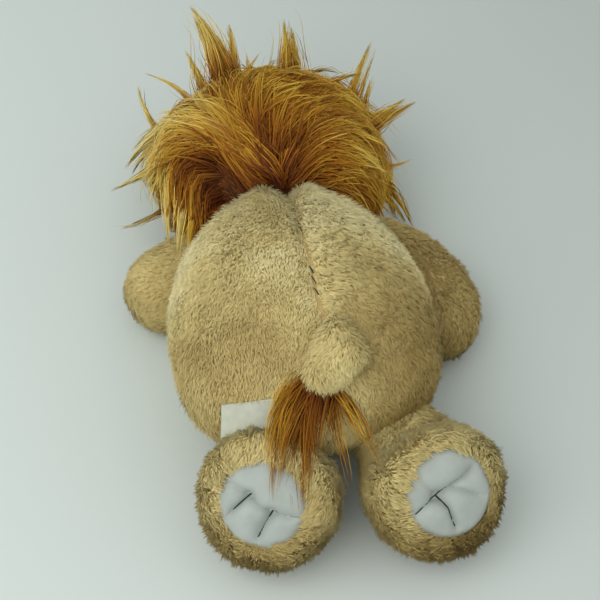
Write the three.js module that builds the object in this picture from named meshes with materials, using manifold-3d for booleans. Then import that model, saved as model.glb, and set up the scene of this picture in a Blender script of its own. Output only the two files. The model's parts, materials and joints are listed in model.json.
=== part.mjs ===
// A plush lion that lies on its front: short-pile panels over fibre filling, a long-pile mane over the back
// of the head, and arms, legs, ears and tail that hinge at their seams.
// Millimetres. +Y runs to the head, +Z is the back, -X is the toy's own left. The ground is z = 0.
import * as THREE from 'three';
import { mergeVertices } from 'three/addons/utils/BufferGeometryUtils.js';
import Module from 'manifold-3d';

const wasm = await Module();
wasm.setup();

// Cloth and clearances
const fit = 0.3; // between pieces that lie on each other
const plush = 3; // short-pile cloth
const pressed = 0.5; // how deep a soft form is pressed flat by the ground
const overrun = 30; // how far a cutting block passes what it cuts
const limbSteps = 4; // turned copies of a limb that clear its way past a neighbour
const bodySides = 32;
const headSides = 20;
const limbSides = 20;
const fineSides = 16;

// Torso
const torsoLength = 196;
const torsoWidth = 175;
const torsoBack = 60; // rise from the widest level to the back
const torsoBelly = 62; // drop from the widest level to the belly
const rumpReach = 123; // from the middle of the rest face to the rump
const seamHeight = 46; // side seams between back and belly
const seamDip = 5; // depth of the drawn-in centre seam at the neck
const torsoSquareness = 2.25;

// Head
const headWidth = 120;
const headLength = 114;
const headBack = 46;
const headFace = 44;
const headOffset = 9; // the head lies a little to the toy's right
const neckOverlap = 10; // how far the head reaches over the end of the torso
const headSeamHeight = 48; // seam between face and mane
const headLie = 60; // height of the head's widest level
const nodAngle = 8; // each way

// Face
const muzzleWidth = 58;
const muzzleLength = 46;
const muzzleDepth = 21;
const noseWidth = 19;
const noseLength = 13;
const noseDepth = 6;
const eyeRadius = 6;
const eyeRise = 4.5;
const eyeSpacingShare = 0.433; // of the head's width
const shankRadius = 1.6;
const shankLength = 9;
const washerRadius = 7;
const washerThickness = 1.4;

// Ears
const earWidth = 36;
const earLength = 30;
const earThickness = 8;
const earRaiseAngle = 8;
const earDropAngle = 18;

// Mane
const maneWidth = 188;
const maneLength = 170;
const maneOffset = 11; // its middle lies this far past the head's, towards the crown
const maneTop = 121; // height above the ground
const maneRim = 46;
const maneClearance = 12; // to the arms as they rise and the head nods
const lockRadius = 11;

// Arms
const armWidth = 62;
const armBack = 24;
const armFront = 26;
const armRaiseAngle = 30;
const armDropAngle = 3;

// Legs and soles
const legWidth = 85;
const footHeel = 33; // from the middle of the foot to its heel
const footToe = 48; // and to its toes
const hipRaiseAngle = 10;
const hipDropAngle = 30;
const footReach = 40; // how far before the sole the leg starts to turn up
const hipLifts = { left: 45, right: 54 }; // height of the leg's middle inside the rump
const soleLift = 60;
const soleAimShares = { left: [-0.34, -0.66, 0.69], right: [0.14, -0.7, 0.69] };
const soleRadius = 29;
const solePad = 6; // swell of the sole
const soleCloth = 2;
const toeGroove = 3; // depth of the lines that draw the toes in
const toeCount = 4;
const toeColumns = 3; // breadth of a toe, in sides of the sole's form
const toeStartShare = 0.28; // where the lines begin, out from the middle
const soleFlatShare = 0.98; // how nearly the swell runs out at the sole's edge

// Tail
const tailRootWidth = 20;
const tailWidth = 44;
const tailThickness = 11;
const tuftWidth = 34;
const tuftThickness = 15;
const tailRaiseAngle = 60;

// Label
const labelWidth = 34;
const labelLength = 22;
const labelThickness = 0.9;
const labelCurl = 2.5; // how far its free end lifts
const labelRaiseAngle = 35;

// Along the torso from rump to neck: place, half width, back, belly, and dip of the centre seam
const torsoShares = [
  [0.012, 0.25, 0.22, 0.26, 0],
  [0.05, 0.57, 0.44, 0.5, 0],
  [0.12, 0.8, 0.65, 0.73, 0],
  [0.21, 0.93, 0.81, 0.89, 0.1],
  [0.32, 0.985, 0.93, 0.98, 0.2],
  [0.43, 1, 0.99, 1, 0.3],
  [0.54, 0.98, 1, 1, 0.35],
  [0.65, 0.925, 0.97, 1, 0.45],
  [0.75, 0.83, 0.91, 1, 0.6],
  [0.84, 0.7, 0.81, 0.96, 0.8],
  [0.91, 0.57, 0.69, 0.82, 1],
  [0.965, 0.42, 0.52, 0.6, 1],
  [0.992, 0.23, 0.3, 0.33, 0.6],
];

// Along the head from neck to crown: place, half width, back, face
const headShares = [
  [0.015, 0.24, 0.24, 0.26],
  [0.07, 0.52, 0.52, 0.54],
  [0.18, 0.79, 0.78, 0.82],
  [0.33, 0.96, 0.95, 0.98],
  [0.5, 1, 1, 1],
  [0.66, 0.96, 0.96, 0.93],
  [0.81, 0.8, 0.8, 0.76],
  [0.92, 0.57, 0.57, 0.54],
  [0.985, 0.26, 0.26, 0.25],
];

// Down the mane from its crown to its underside: reach, and height between ground and top
const maneShares = [
  [0.28, 0.985],
  [0.52, 0.93],
  [0.73, 0.83],
  [0.88, 0.69],
  [0.97, 0.53],
  [1, 0.42],
  [0.96, 0.35],
  [0.86, 0.325],
  [0.72, 0.35],
];

// Swell of the mane round its rim, one share for each side of the form
const maneSwellShares = [
  1.02, 1.05, 0.99, 1.04, 1.0, 1.05, 0.98, 1.02, 1.04, 0.98, 1.03, 1.0, 0.97, 1.04, 1.0, 1.05,
  1.0, 1.06, 1.01, 1.04, 0.96, 0.9, 0.86, 0.84, 0.84, 0.85, 0.87, 0.9, 0.95, 1.0, 0.98, 1.04,
];

// Locks of the mane: where each leaves it (round and up), its tip (across, along, height) and its breadth
const lockShares = [
  [112, 0.62, [-0.48, 1.33, 0.95], 1.4],
  [96, 0.66, [0.02, 0.95, 0.84], 1.0],
  [73, 0.68, [0.34, 0.96, 0.9], 1.0],
  [42, 0.66, [0.98, 0.78, 0.72], 0.9],
  [21, 0.56, [1.17, 0.36, 0.48], 1.0],
  [2, 0.5, [1.17, -0.06, 0.34], 0.8],
  [-20, 0.44, [1.01, -0.65, 0.26], 1.0],
  [130, 0.56, [-0.91, 0.83, 0.5], 1.1],
  [150, 0.5, [-1.11, 0.5, 0.34], 1.0],
  [168, 0.46, [-1.24, 0.18, 0.22], 0.9],
  [186, 0.44, [-1.17, -0.18, 0.2], 1.0],
  [205, 0.46, [-0.94, -0.67, 0.28], 1.3],
];

// Places in a limb: along it, half width, rise and drop
const armShares = [
  [0.02, 0.44, 0.42, 0.42],
  [0.12, 0.6, 0.6, 0.6],
  [0.28, 0.8, 0.82, 0.82],
  [0.45, 0.94, 0.95, 0.95],
  [0.6, 1, 1, 1],
  [0.75, 0.96, 0.97, 0.97],
  [0.87, 0.79, 0.84, 0.84],
  [0.95, 0.53, 0.6, 0.6],
  [0.99, 0.25, 0.3, 0.3],
];
const legShares = [
  [0.02, 0.5, 0.52, 0.5],
  [0.2, 0.55, 0.55, 0.56],
  [0.38, 0.65, 0.6, 0.68],
  [0.54, 0.82, 0.7, 0.85],
  [0.68, 0.96, 0.85, 0.97],
  [0.8, 1, 0.97, 1],
  [0.9, 0.96, 0.99, 0.94],
  [0.965, 0.86, 0.95, 0.82],
];

// Paths of the limbs: across in half widths of the torso, along it from the rump, and lift from the limb's
// rest height (0) to the side seam (1)
const armPathShares = {
  left: [[-0.37, 0.948, 1], [-0.62, 0.948, 0.25], [-0.87, 0.908, -0.15], [-1.2, 0.778, -0.05]],
  right: [[0.59, 0.908, 1], [1.06, 0.878, 0.25], [1.25, 0.658, -0.15], [1.15, 0.408, -0.05]],
};
const legPathShares = {
  left: { hip: [-0.28, 0.208], sole: [-0.55, -0.182] },
  right: { hip: [0.44, 0.208], sole: [0.73, -0.257] },
};

// Places on the torso: across in half widths, along it from the rump
const tailPathShares = [[0.17, 0.268], [0.15, 0.198], [0.11, 0.138], [0.07, 0.098]];
const labelPathShares = [[-0.54, 0.246], [-0.55, 0.178], [-0.56, 0.108]];
const shoulderShares = { left: [-0.62, 0.898], right: [0.68, 0.868] };
const shoulderSlantShare = 0.45;
const hipShares = { left: [-0.42, 0.093], right: [0.46, 0.093] };

const X = new THREE.Vector3(1, 0, 0);
const Y = new THREE.Vector3(0, 1, 0);
const Z = new THREE.Vector3(0, 0, 1);
const at = (x, y, z) => new THREE.Vector3(x, y, z);
const mid = (a, b, share) => a + (b - a) * share;

const torsoHalf = torsoWidth / 2;
const torsoAxis = torsoBelly - pressed;
const neckEnd = torsoLength - rumpReach;
const headStart = neckEnd - neckOverlap;
const headMiddle = headStart + headLength / 2;
const maneMiddle = headMiddle + maneOffset;

// A place on the torso from its shares, at a height
function onTorso([across, along], height) {
  return at(across * torsoHalf, along * torsoLength - rumpReach, height);
}

// A three.js geometry as a solid that can be cut and joined
function solidOf(geometry) {
  const bare = geometry.clone();
  bare.deleteAttribute('normal');
  bare.deleteAttribute('uv');
  const merged = mergeVertices(bare);
  return new wasm.Manifold(new wasm.Mesh({
    numProp: 3,
    vertProperties: new Float32Array(merged.attributes.position.array),
    triVerts: new Uint32Array(merged.index.array),
  }));
}

// One point of a rounded section, by its turn about the path
function sectionPoint(ring, turn) {
  const c = Math.cos(turn);
  const s = Math.sin(turn);
  const power = 2 / (ring.squareness ?? 2);
  const x = Math.sign(c) * Math.abs(c) ** power * ring.half;
  const y = Math.sign(s) * Math.abs(s) ** power * (s > 0 ? ring.rise : ring.drop);
  return ring.centre.clone().addScaledVector(ring.across, x).addScaledVector(ring.up, y);
}

// A closed form through rounded sections, each with a centre, across and up directions and its own half sizes
function closedForm(rings, first, last, sides) {
  const points = [first];
  for (const ring of rings) {
    for (let j = 0; j < sides; j++) {
      const point = sectionPoint(ring, (2 * Math.PI * j) / sides);
      if (ring.dip && j === sides / 4) point.addScaledVector(ring.up, -ring.dip);
      points.push(point);
    }
  }
  points.push(last);
  const index = [];
  const place = (i, j) => 1 + i * sides + (j % sides);
  for (let j = 0; j < sides; j++) {
    index.push(0, place(0, j + 1), place(0, j));
    index.push(points.length - 1, place(rings.length - 1, j), place(rings.length - 1, j + 1));
    for (let i = 0; i + 1 < rings.length; i++) {
      index.push(place(i, j), place(i, j + 1), place(i + 1, j + 1));
      index.push(place(i, j), place(i + 1, j + 1), place(i + 1, j));
    }
  }
  return new THREE.BufferGeometry().setFromPoints(points).setIndex(index);
}

// A form that swells and tapers along a curve. Each section is given as place, half width, rise, drop.
function formAlong(curve, sections, up, sides, squareness) {
  const rings = sections.map(([place, half, rise, drop]) => {
    const tangent = curve.getTangentAt(place);
    const across = up.clone().cross(tangent).normalize();
    return {
      centre: curve.getPointAt(place),
      across,
      up: tangent.clone().cross(across),
      half,
      rise,
      drop,
      squareness,
    };
  });
  return closedForm(rings, curve.getPointAt(0), curve.getPointAt(1), sides);
}

// A block between two corners
function block(low, high) {
  const size = high.clone().sub(low);
  const geometry = new THREE.BoxGeometry(size.x, size.y, size.z);
  geometry.translate((low.x + high.x) / 2, (low.y + high.y) / 2, (low.z + high.z) / 2);
  return solidOf(geometry);
}

const stuffing = plush + 2 * fit; // depth of the filling below the outer form
const reach = torsoLength + headLength + maneLength;
const ground = block(at(-reach, -reach, -reach), at(reach, reach, 0));
const pressFlat = (solid) => solid.subtract(ground);

// The room that a form takes, seen from a piece that turns about a joint's line. The two ends of the range
// clear a body that the line lies on, and a limb that swings past needs steps between them.
function sweptRoom(geometry, { point, axis, low, high }, steps = 1) {
  const copies = Array.from({ length: steps + 1 }, (_, k) => {
    const turn = -THREE.MathUtils.degToRad(mid(low, high, k / steps));
    const turned = new THREE.Matrix4()
      .makeTranslation(point.x, point.y, point.z)
      .multiply(new THREE.Matrix4().makeRotationAxis(axis, turn))
      .multiply(new THREE.Matrix4().makeTranslation(-point.x, -point.y, -point.z));
    return solidOf(geometry.clone().applyMatrix4(turned));
  });
  return copies.reduce((room, copy) => room.add(copy));
}

// Where a straight line first meets a form, and which way the form faces there
function seatOn(geometry, from, aim) {
  const caster = new THREE.Raycaster(from, aim.clone().normalize());
  const [hit] = caster.intersectObject(new THREE.Mesh(geometry));
  return { point: hit.point, normal: hit.face.normal.clone() };
}

// The torso, inset by a depth, or grown where the depth is negative
function torsoForm(inset, sides = bodySides) {
  const length = torsoLength - 2 * inset;
  const start = inset - rumpReach;
  const rings = torsoShares.map(([place, half, back, belly, dip]) => ({
    centre: at(0, start + place * length, torsoAxis),
    across: X.clone().negate(),
    up: Z,
    half: half * torsoHalf - inset,
    rise: back * torsoBack - inset,
    drop: belly * torsoBelly - inset,
    dip: dip * seamDip,
    squareness: torsoSquareness,
  }));
  return closedForm(rings, at(0, start, torsoAxis), at(0, start + length, torsoAxis), sides);
}

// The head, inset or grown in the same way
function headForm(inset, sides = headSides) {
  const length = headLength - 2 * inset;
  const start = headStart + inset;
  const rings = headShares.map(([place, half, back, face]) => ({
    centre: at(headOffset, start + place * length, headLie),
    across: X.clone().negate(),
    up: Z,
    half: (half * headWidth) / 2 - inset,
    rise: back * headBack - inset,
    drop: face * headFace - inset,
  }));
  return closedForm(rings, at(headOffset, start, headLie), at(headOffset, start + length, headLie), sides);
}

// The sections of a limb, inset or grown in the same way
function limbSections(shares, half, rise, drop, inset) {
  return shares.map(([place, wide, high, low]) => [
    place,
    wide * half - inset,
    high * rise - inset,
    low * drop - inset,
  ]);
}

const torsoSolid = solidOf(torsoForm(0));
const torsoRoom = torsoForm(-fit);
// The filling of a limb stays out of this
const stuffingRoom = torsoForm(-stuffing, bodySides / 2);

// Joints: a point on the line, the line's direction, and the limits in degrees
const neck = { point: at(0, neckEnd - neckOverlap / 4, torsoAxis), axis: X, low: -nodAngle, high: nodAngle };

function shoulder(side) {
  const sign = side === 'left' ? -1 : 1;
  return {
    point: onTorso(shoulderShares[side], seamHeight),
    axis: at(shoulderSlantShare, -sign, 0).normalize(),
    low: -armDropAngle,
    high: armRaiseAngle,
  };
}

function hip(side) {
  return { point: onTorso(hipShares[side], seamHeight), axis: X, low: -hipRaiseAngle, high: hipDropAngle };
}

// The same joint, seen from the body that stays
function reversed(joint) {
  return { ...joint, low: -joint.high, high: -joint.low };
}

// Colours and finishes
function material(color, roughness, metalness = 0) {
  return new THREE.MeshStandardMaterial({ color, roughness, metalness });
}
const creamPlush = () => material(0xc9b27e, 0.95);
const rustPile = () => material(0x9a6a2a, 0.8);
const whiteSatin = () => material(0xe4e8e2, 0.55);
const fibre = () => material(0xf1efe8, 1);
const blackPlastic = () => material(0x15110e, 0.15);

// A named piece, its geometry taken back from the solid
function piece(name, solid, finish) {
  const { numProp, vertProperties, triVerts } = solid.getMesh();
  const points = new Float32Array((vertProperties.length / numProp) * 3);
  for (let i = 0; i < points.length / 3; i++) {
    points.set(vertProperties.subarray(i * numProp, i * numProp + 3), i * 3);
  }
  const geometry = new THREE.BufferGeometry();
  geometry.setAttribute('position', new THREE.BufferAttribute(points, 3));
  geometry.setIndex(new THREE.BufferAttribute(new Uint32Array(triVerts), 1));
  geometry.computeVertexNormals();
  const mesh = new THREE.Mesh(geometry, finish);
  mesh.name = name;
  return mesh;
}

// Torso: two back panels that meet at the centre seam, one belly panel, and the filling
function torso() {
  const group = new THREE.Group();
  const shell = torsoSolid.subtract(solidOf(torsoForm(plush)));
  const half = fit / 2;
  const right = block(at(half, -reach, seamHeight + half), at(reach, reach, reach));
  const left = block(at(-reach, -reach, seamHeight + half), at(-half, reach, reach));
  const front = block(at(-reach, -reach, -reach), at(reach, reach, seamHeight - half));
  group.add(piece('torso_back_left', shell.intersect(left), creamPlush()));
  group.add(piece('torso_back_right', shell.intersect(right), creamPlush()));
  group.add(piece('torso_belly', pressFlat(shell.intersect(front)), creamPlush()));
  const filling = solidOf(torsoForm(stuffing, bodySides / 2));
  const clearGround = block(at(-reach, -reach, -reach), at(reach, reach, stuffing));
  group.add(piece('torso_filling', filling.subtract(clearGround), fibre()));
  return group;
}

// The mane's mass: a soft cap whose rim swells in tufts, before the head is taken out of it
function maneCap() {
  const points = [at(headOffset, maneMiddle, maneTop)];
  for (const [out, height] of maneShares) {
    maneSwellShares.forEach((swell, j) => {
      const turn = (2 * Math.PI * j) / maneSwellShares.length;
      const spread = out * mid(1, swell, out);
      points.push(at(
        headOffset + (Math.cos(turn) * spread * maneWidth) / 2,
        maneMiddle + (Math.sin(turn) * spread * maneLength) / 2,
        height * maneTop,
      ));
    });
  }
  points.push(at(headOffset, maneMiddle, maneRim));
  const sides = maneSwellShares.length;
  const place = (i, j) => 1 + i * sides + (j % sides);
  const index = [];
  for (let j = 0; j < sides; j++) {
    index.push(0, place(0, j), place(0, j + 1));
    index.push(points.length - 1, place(maneShares.length - 1, j + 1), place(maneShares.length - 1, j));
    for (let i = 0; i + 1 < maneShares.length; i++) {
      index.push(place(i, j), place(i + 1, j), place(i + 1, j + 1));
      index.push(place(i, j), place(i + 1, j + 1), place(i, j + 1));
    }
  }
  return solidOf(new THREE.BufferGeometry().setFromPoints(points).setIndex(index));
}

// One lock: a tapered curl from inside the mane out to its tip
function lock([round, height, [across, along, up], breadth]) {
  const turn = THREE.MathUtils.degToRad(round);
  const start = at(
    headOffset + (Math.cos(turn) * maneWidth) / 3,
    maneMiddle + (Math.sin(turn) * maneLength) / 3,
    height * maneTop,
  );
  const tip = at(
    headOffset + (across * maneWidth) / 2,
    maneMiddle + (along * maneLength) / 2,
    up * maneTop,
  );
  const bend = start.clone().lerp(tip, 1 / 2);
  bend.z += lockRadius * breadth;
  const curve = new THREE.QuadraticBezierCurve3(start, bend, tip);
  const size = lockRadius * breadth;
  const sections = [
    [0.04, size, size * 0.8, size * 0.8],
    [0.3, size, size * 0.8, size * 0.8],
    [0.6, size * 0.72, size * 0.55, size * 0.55],
    [0.85, size * 0.34, size * 0.28, size * 0.28],
  ];
  return solidOf(formAlong(curve, sections, Z, 6));
}

function mane(headRoom, torsoSweep) {
  let solid = maneCap();
  for (const shares of lockShares) solid = solid.add(lock(shares));
  solid = solid.subtract(headRoom).subtract(torsoSweep);
  for (const side of ['left', 'right']) {
    const armRoom = armForm(side, -maneClearance, limbSides / 2);
    solid = solid.subtract(sweptRoom(armRoom, reversed(shoulder(side)), limbSteps));
  }
  return pressFlat(largest(solid));
}

// A safety eye: a domed cap on a shank, made along +Y from the face outwards
function eyeCap() {
  const profile = [[0, -eyeRise], [eyeRadius, -eyeRise]];
  for (let k = 0; k <= 4; k++) {
    const turn = (Math.PI / 2) * (k / 4);
    profile.push([eyeRadius * Math.cos(turn), eyeRise * Math.sin(turn)]);
  }
  profile[profile.length - 1][0] = 0;
  return new THREE.LatheGeometry(profile.map(([x, y]) => new THREE.Vector2(x, y)), fineSides);
}

function rod(radius, from, to) {
  const geometry = new THREE.CylinderGeometry(radius, radius, to - from, fineSides);
  geometry.translate(0, (from + to) / 2, 0);
  return geometry;
}

function ringWasher(inner, outer, from, to) {
  const profile = [[inner, from], [outer, from], [outer, to], [inner, to], [inner, from]];
  return new THREE.LatheGeometry(profile.map(([x, y]) => new THREE.Vector2(x, y)), fineSides);
}

// Stands a geometry made along +Y on a seat, with +Y along the seat's normal
function stood(geometry, seat) {
  const turn = new THREE.Quaternion().setFromUnitVectors(Y, seat.normal);
  const matrix = new THREE.Matrix4().compose(seat.point, turn, at(1, 1, 1));
  return solidOf(geometry.clone().applyMatrix4(matrix));
}

// Head: face panel, muzzle, nose, eyes with their lock washers, ears, mane and filling
function head() {
  const group = new THREE.Group();
  const outer = headForm(0);
  const headRoom = solidOf(headForm(-fit));
  const torsoSweep = sweptRoom(torsoRoom, neck);
  const half = fit / 2;
  const eyeAlong = headMiddle + headLength / 7;

  const shell = solidOf(outer).subtract(solidOf(headForm(plush)));
  let face = shell.subtract(block(at(-reach, -reach, headSeamHeight - half), at(reach, reach, reach)));
  const crown = shell.subtract(block(at(-reach, -reach, -reach), at(reach, reach, headSeamHeight + half)));
  let filling = solidOf(headForm(stuffing, headSides / 2));

  for (const side of ['left', 'right']) {
    const sign = side === 'left' ? -1 : 1;
    const from = at(headOffset + (sign * eyeSpacingShare * headWidth) / 2, eyeAlong, -overrun);
    const seat = seatOn(outer, from, Z);
    const dish = (washerRadius ** 2 / headFace) * 1.6;
    const inside = -plush - washerThickness - dish - fit;
    face = face.subtract(stood(rod(shankRadius + fit, -shankLength, eyeRise), seat));
    filling = filling.subtract(stood(rod(washerRadius + fit, -shankLength - fit, eyeRise), seat));
    const cap = stood(eyeCap(), seat).subtract(headRoom);
    const shank = stood(rod(shankRadius, -shankLength, eyeRise / 2), seat);
    const washer = ringWasher(shankRadius + fit, washerRadius, inside, inside + washerThickness);
    group.add(piece('eye_' + side, cap.add(shank), blackPlastic()));
    group.add(piece('eye_washer_' + side, stood(washer, seat), whiteSatin()));
  }

  const muzzle = new THREE.SphereGeometry(1, fineSides, fineSides / 2);
  const muzzleMiddle = at(headOffset, headMiddle - headLength / 12, muzzleDepth - pressed);
  muzzle.scale(muzzleWidth / 2, muzzleLength / 2, muzzleDepth);
  muzzle.translate(muzzleMiddle.x, muzzleMiddle.y, muzzleMiddle.z);
  group.add(piece('muzzle', pressFlat(solidOf(muzzle).subtract(headRoom)), creamPlush()));

  const nose = new THREE.SphereGeometry(1, fineSides, fineSides / 2);
  nose.scale(noseWidth / 2, noseLength / 2, noseDepth);
  nose.translate(muzzleMiddle.x, muzzleMiddle.y + muzzleLength * 0.36, noseDepth + muzzleDepth * 0.12);
  const muzzleRoom = new THREE.SphereGeometry(1, fineSides, fineSides / 2);
  muzzleRoom.scale(muzzleWidth / 2 + fit, muzzleLength / 2 + fit, muzzleDepth + fit);
  muzzleRoom.translate(muzzleMiddle.x, muzzleMiddle.y, muzzleMiddle.z);
  const noseSolid = solidOf(nose).subtract(solidOf(muzzleRoom)).subtract(headRoom);
  group.add(piece('nose', pressFlat(noseSolid), blackPlastic()));

  group.add(piece('face', face.subtract(torsoSweep), creamPlush()));
  group.add(piece('head_back', crown.subtract(torsoSweep), rustPile()));
  filling = filling.subtract(sweptRoom(stuffingRoom, neck));
  group.add(piece('head_filling', filling, fibre()));
  group.add(piece('mane', mane(headRoom, torsoSweep), rustPile()));

  for (const side of ['left', 'right']) group.add(ear(side, outer));
  return group;
}

// The line that an ear turns about, on the face below the mane
function earJoint(side, outer) {
  const sign = side === 'left' ? -1 : 1;
  const aim = at(-sign, -0.62, 0);
  const from = at(headOffset + sign * headWidth, headMiddle + headWidth * 0.62, headSeamHeight / 1.6);
  const { point, normal } = seatOn(outer, from, aim);
  const out = at(normal.x, normal.y, 0).normalize();
  return { point, out, axis: out.clone().cross(Z).negate(), low: -earRaiseAngle, high: earDropAngle };
}

// An ear: a rounded flap sewn on at its root
function ear(side, outer) {
  const joint = earJoint(side, outer);
  const root = joint.point.clone().addScaledVector(joint.out, -earThickness);
  const tip = joint.point.clone().addScaledVector(joint.out, earLength);
  tip.z -= earLength / 4;
  const curve = new THREE.LineCurve3(root, tip);
  const half = earWidth / 2;
  const thick = earThickness / 2;
  const sections = [
    [0.02, half * 0.72, thick * 0.5, thick * 0.5],
    [0.3, half * 0.88, thick * 0.8, thick * 0.8],
    [0.58, half, thick, thick],
    [0.8, half * 0.84, thick * 0.9, thick * 0.9],
    [0.94, half * 0.5, thick * 0.6, thick * 0.6],
  ];
  const solid = solidOf(formAlong(curve, sections, Z, fineSides));
  return piece('ear_' + side, solid.subtract(sweptRoom(headForm(-fit), joint)), creamPlush());
}

// The arm's outer form, which runs from inside the torso to the paw
function armForm(side, inset, sides = limbSides) {
  const lie = armFront - pressed;
  const path = armPathShares[side].map((share) => onTorso(share, mid(lie, seamHeight, share[2])));
  const curve = new THREE.CubicBezierCurve3(...path);
  return formAlong(curve, limbSections(armShares, armWidth / 2, armBack, armFront, inset), Z, sides);
}

// An arm: short-pile cloth over filling, tapered to its shoulder seam
function arm(side) {
  const group = new THREE.Group();
  const form = (inset, sides) => armForm(side, inset, sides);
  const clear = sweptRoom(torsoRoom, shoulder(side));
  const skin = solidOf(form(0)).subtract(solidOf(form(plush))).subtract(clear);
  const low = block(at(-reach, -reach, -reach), at(reach, reach, stuffing));
  const clearFilling = sweptRoom(stuffingRoom, shoulder(side));
  const filling = solidOf(form(stuffing, limbSides / 2)).subtract(clearFilling).subtract(low);
  group.add(piece('arm_' + side, largest(pressFlat(skin)), creamPlush()));
  group.add(piece('arm_' + side + '_filling', largest(filling), fibre()));
  return group;
}

function largest(solid) {
  const parts = solid.decompose().sort((a, b) => b.volume() - a.volume());
  return parts[0];
}

// The path of a leg, from inside the rump to the middle of its sole
function legPath(side) {
  const { hip: hipPlace, sole } = legPathShares[side];
  const aim = new THREE.Vector3(...soleAimShares[side]).normalize();
  const start = onTorso(hipPlace, hipLifts[side]);
  const end = onTorso(sole, soleLift);
  const turn = end.clone().addScaledVector(aim, -footReach);
  const knee = at(mid(start.x, turn.x, 1 / 2), mid(start.y, turn.y, 1 / 2), turn.z);
  return { curve: new THREE.CubicBezierCurve3(start, knee, turn, end), end, aim };
}

// The leg's outer form, from inside the rump to the round edge of the sole
function legForm(side, inset, sides = limbSides) {
  const edge = soleRadius - inset;
  const sections = limbSections(legShares, legWidth / 2, footHeel, footToe, inset);
  return formAlong(legPath(side).curve, [...sections, [1, edge, edge, edge]], Z, sides);
}

// A leg: cloth tube over filling, open at the sole, which its white patch closes
function leg(side) {
  const group = new THREE.Group();
  const { end, aim } = legPath(side);
  const form = (inset, sides) => legForm(side, inset, sides);
  const clear = sweptRoom(torsoRoom, hip(side), 2);
  const opening = rod(soleRadius - plush / 2, -plush, overrun);
  const mouth = stood(opening, { point: end, normal: aim });
  const skin = solidOf(form(0)).subtract(solidOf(form(plush))).subtract(mouth).subtract(clear);
  const low = block(at(-reach, -reach, -reach), at(reach, reach, stuffing));
  const clearFilling = sweptRoom(stuffingRoom, hip(side));
  const filling = solidOf(form(stuffing, limbSides / 2)).subtract(clearFilling).subtract(low);
  group.add(piece('leg_' + side, largest(pressFlat(skin)), creamPlush()));
  group.add(piece('leg_' + side + '_filling', largest(filling), fibre()));
  group.add(sole(side, end, aim));
  return group;
}

// A sole: a swelling white patch whose toes are drawn in by three grooves
function sole(side, end, aim) {
  const radius = soleRadius;
  const ringCount = 7;
  const points = [at(0, 0, solePad + soleCloth)];
  for (let i = 1; i <= ringCount; i++) {
    const out = i / ringCount;
    for (let j = 0; j < bodySides; j++) {
      const turn = (2 * Math.PI * j) / bodySides;
      const x = Math.cos(turn) * out * radius;
      const y = Math.sin(turn) * out * radius;
      const swell = Math.sqrt(1 - out * out * soleFlatShare);
      const drawnIn = inToeLine(j) && out > toeStartShare ? toeGroove : 0;
      points.push(at(x, y, soleCloth + (solePad - drawnIn) * swell));
    }
  }
  for (let j = 0; j < bodySides; j++) {
    const turn = (2 * Math.PI * j) / bodySides;
    points.push(at(Math.cos(turn) * radius, Math.sin(turn) * radius, 0));
  }
  points.push(at(0, 0, 0));
  const place = (i, j) => 1 + i * bodySides + (j % bodySides);
  const index = [];
  for (let j = 0; j < bodySides; j++) {
    index.push(0, place(0, j), place(0, j + 1));
    index.push(points.length - 1, place(ringCount, j + 1), place(ringCount, j));
    for (let i = 0; i < ringCount; i++) {
      index.push(place(i, j), place(i + 1, j), place(i + 1, j + 1));
      index.push(place(i, j), place(i + 1, j + 1), place(i, j + 1));
    }
  }
  const geometry = new THREE.BufferGeometry().setFromPoints(points).setIndex(index);
  const toes = Z.clone().negate().addScaledVector(aim, aim.z).normalize();
  const across = toes.clone().cross(aim);
  const basis = new THREE.Matrix4().makeBasis(across, toes, aim);
  basis.setPosition(end.clone().addScaledVector(aim, fit));
  if (basis.determinant() < 0) basis.multiply(new THREE.Matrix4().makeScale(-1, 1, 1));
  return piece('sole_' + side, solidOf(geometry.applyMatrix4(basis)), whiteSatin());
}

// Whether a column of the sole's form lies on a line between toes, which point along +y
function inToeLine(column) {
  const off = column - bodySides / 4;
  return off % toeColumns === 0 && Math.abs(off) <= (toeColumns * (toeCount - 2)) / 2;
}

// Tail: a flattened cloth stub that lies on the rump, and a long-pile tuft from its end
function tail() {
  const group = new THREE.Group();
  const outer = torsoForm(0);
  const path = tailPathShares.map((share) => {
    const seat = seatOn(outer, onTorso(share, reach), Z.clone().negate());
    return seat.point.addScaledVector(seat.normal, tailThickness / 2 + fit);
  });
  const joint = tailJoint(path);
  const curve = new THREE.CatmullRomCurve3(path);
  const thick = tailThickness / 2;
  const sections = [
    [0.03, tailRootWidth / 2, thick * 0.6, thick * 0.6],
    [0.25, mid(tailRootWidth, tailWidth, 0.45) / 2, thick, thick],
    [0.55, mid(tailRootWidth, tailWidth, 0.85) / 2, thick, thick],
    [0.85, tailWidth / 2, thick, thick],
    [0.97, (tailWidth / 2) * 0.94, thick * 0.6, thick * 0.6],
  ];
  const clear = sweptRoom(torsoRoom, joint);
  const stub = solidOf(formAlong(curve, sections, Z, fineSides)).subtract(clear);
  group.add(piece('tail', largest(stub), creamPlush()));
  const room = solidOf(formAlong(curve, sections.map(([place, half, rise, drop]) =>
    [place, half + fit, rise + fit, drop + fit]), Z, fineSides));
  group.add(piece('tail_tuft', tuft(path, joint, room, clear), rustPile()));
  return group;
}

function tailJoint(path) {
  return { point: path[0].clone(), axis: X.clone().negate(), low: 0, high: tailRaiseAngle };
}

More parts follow.
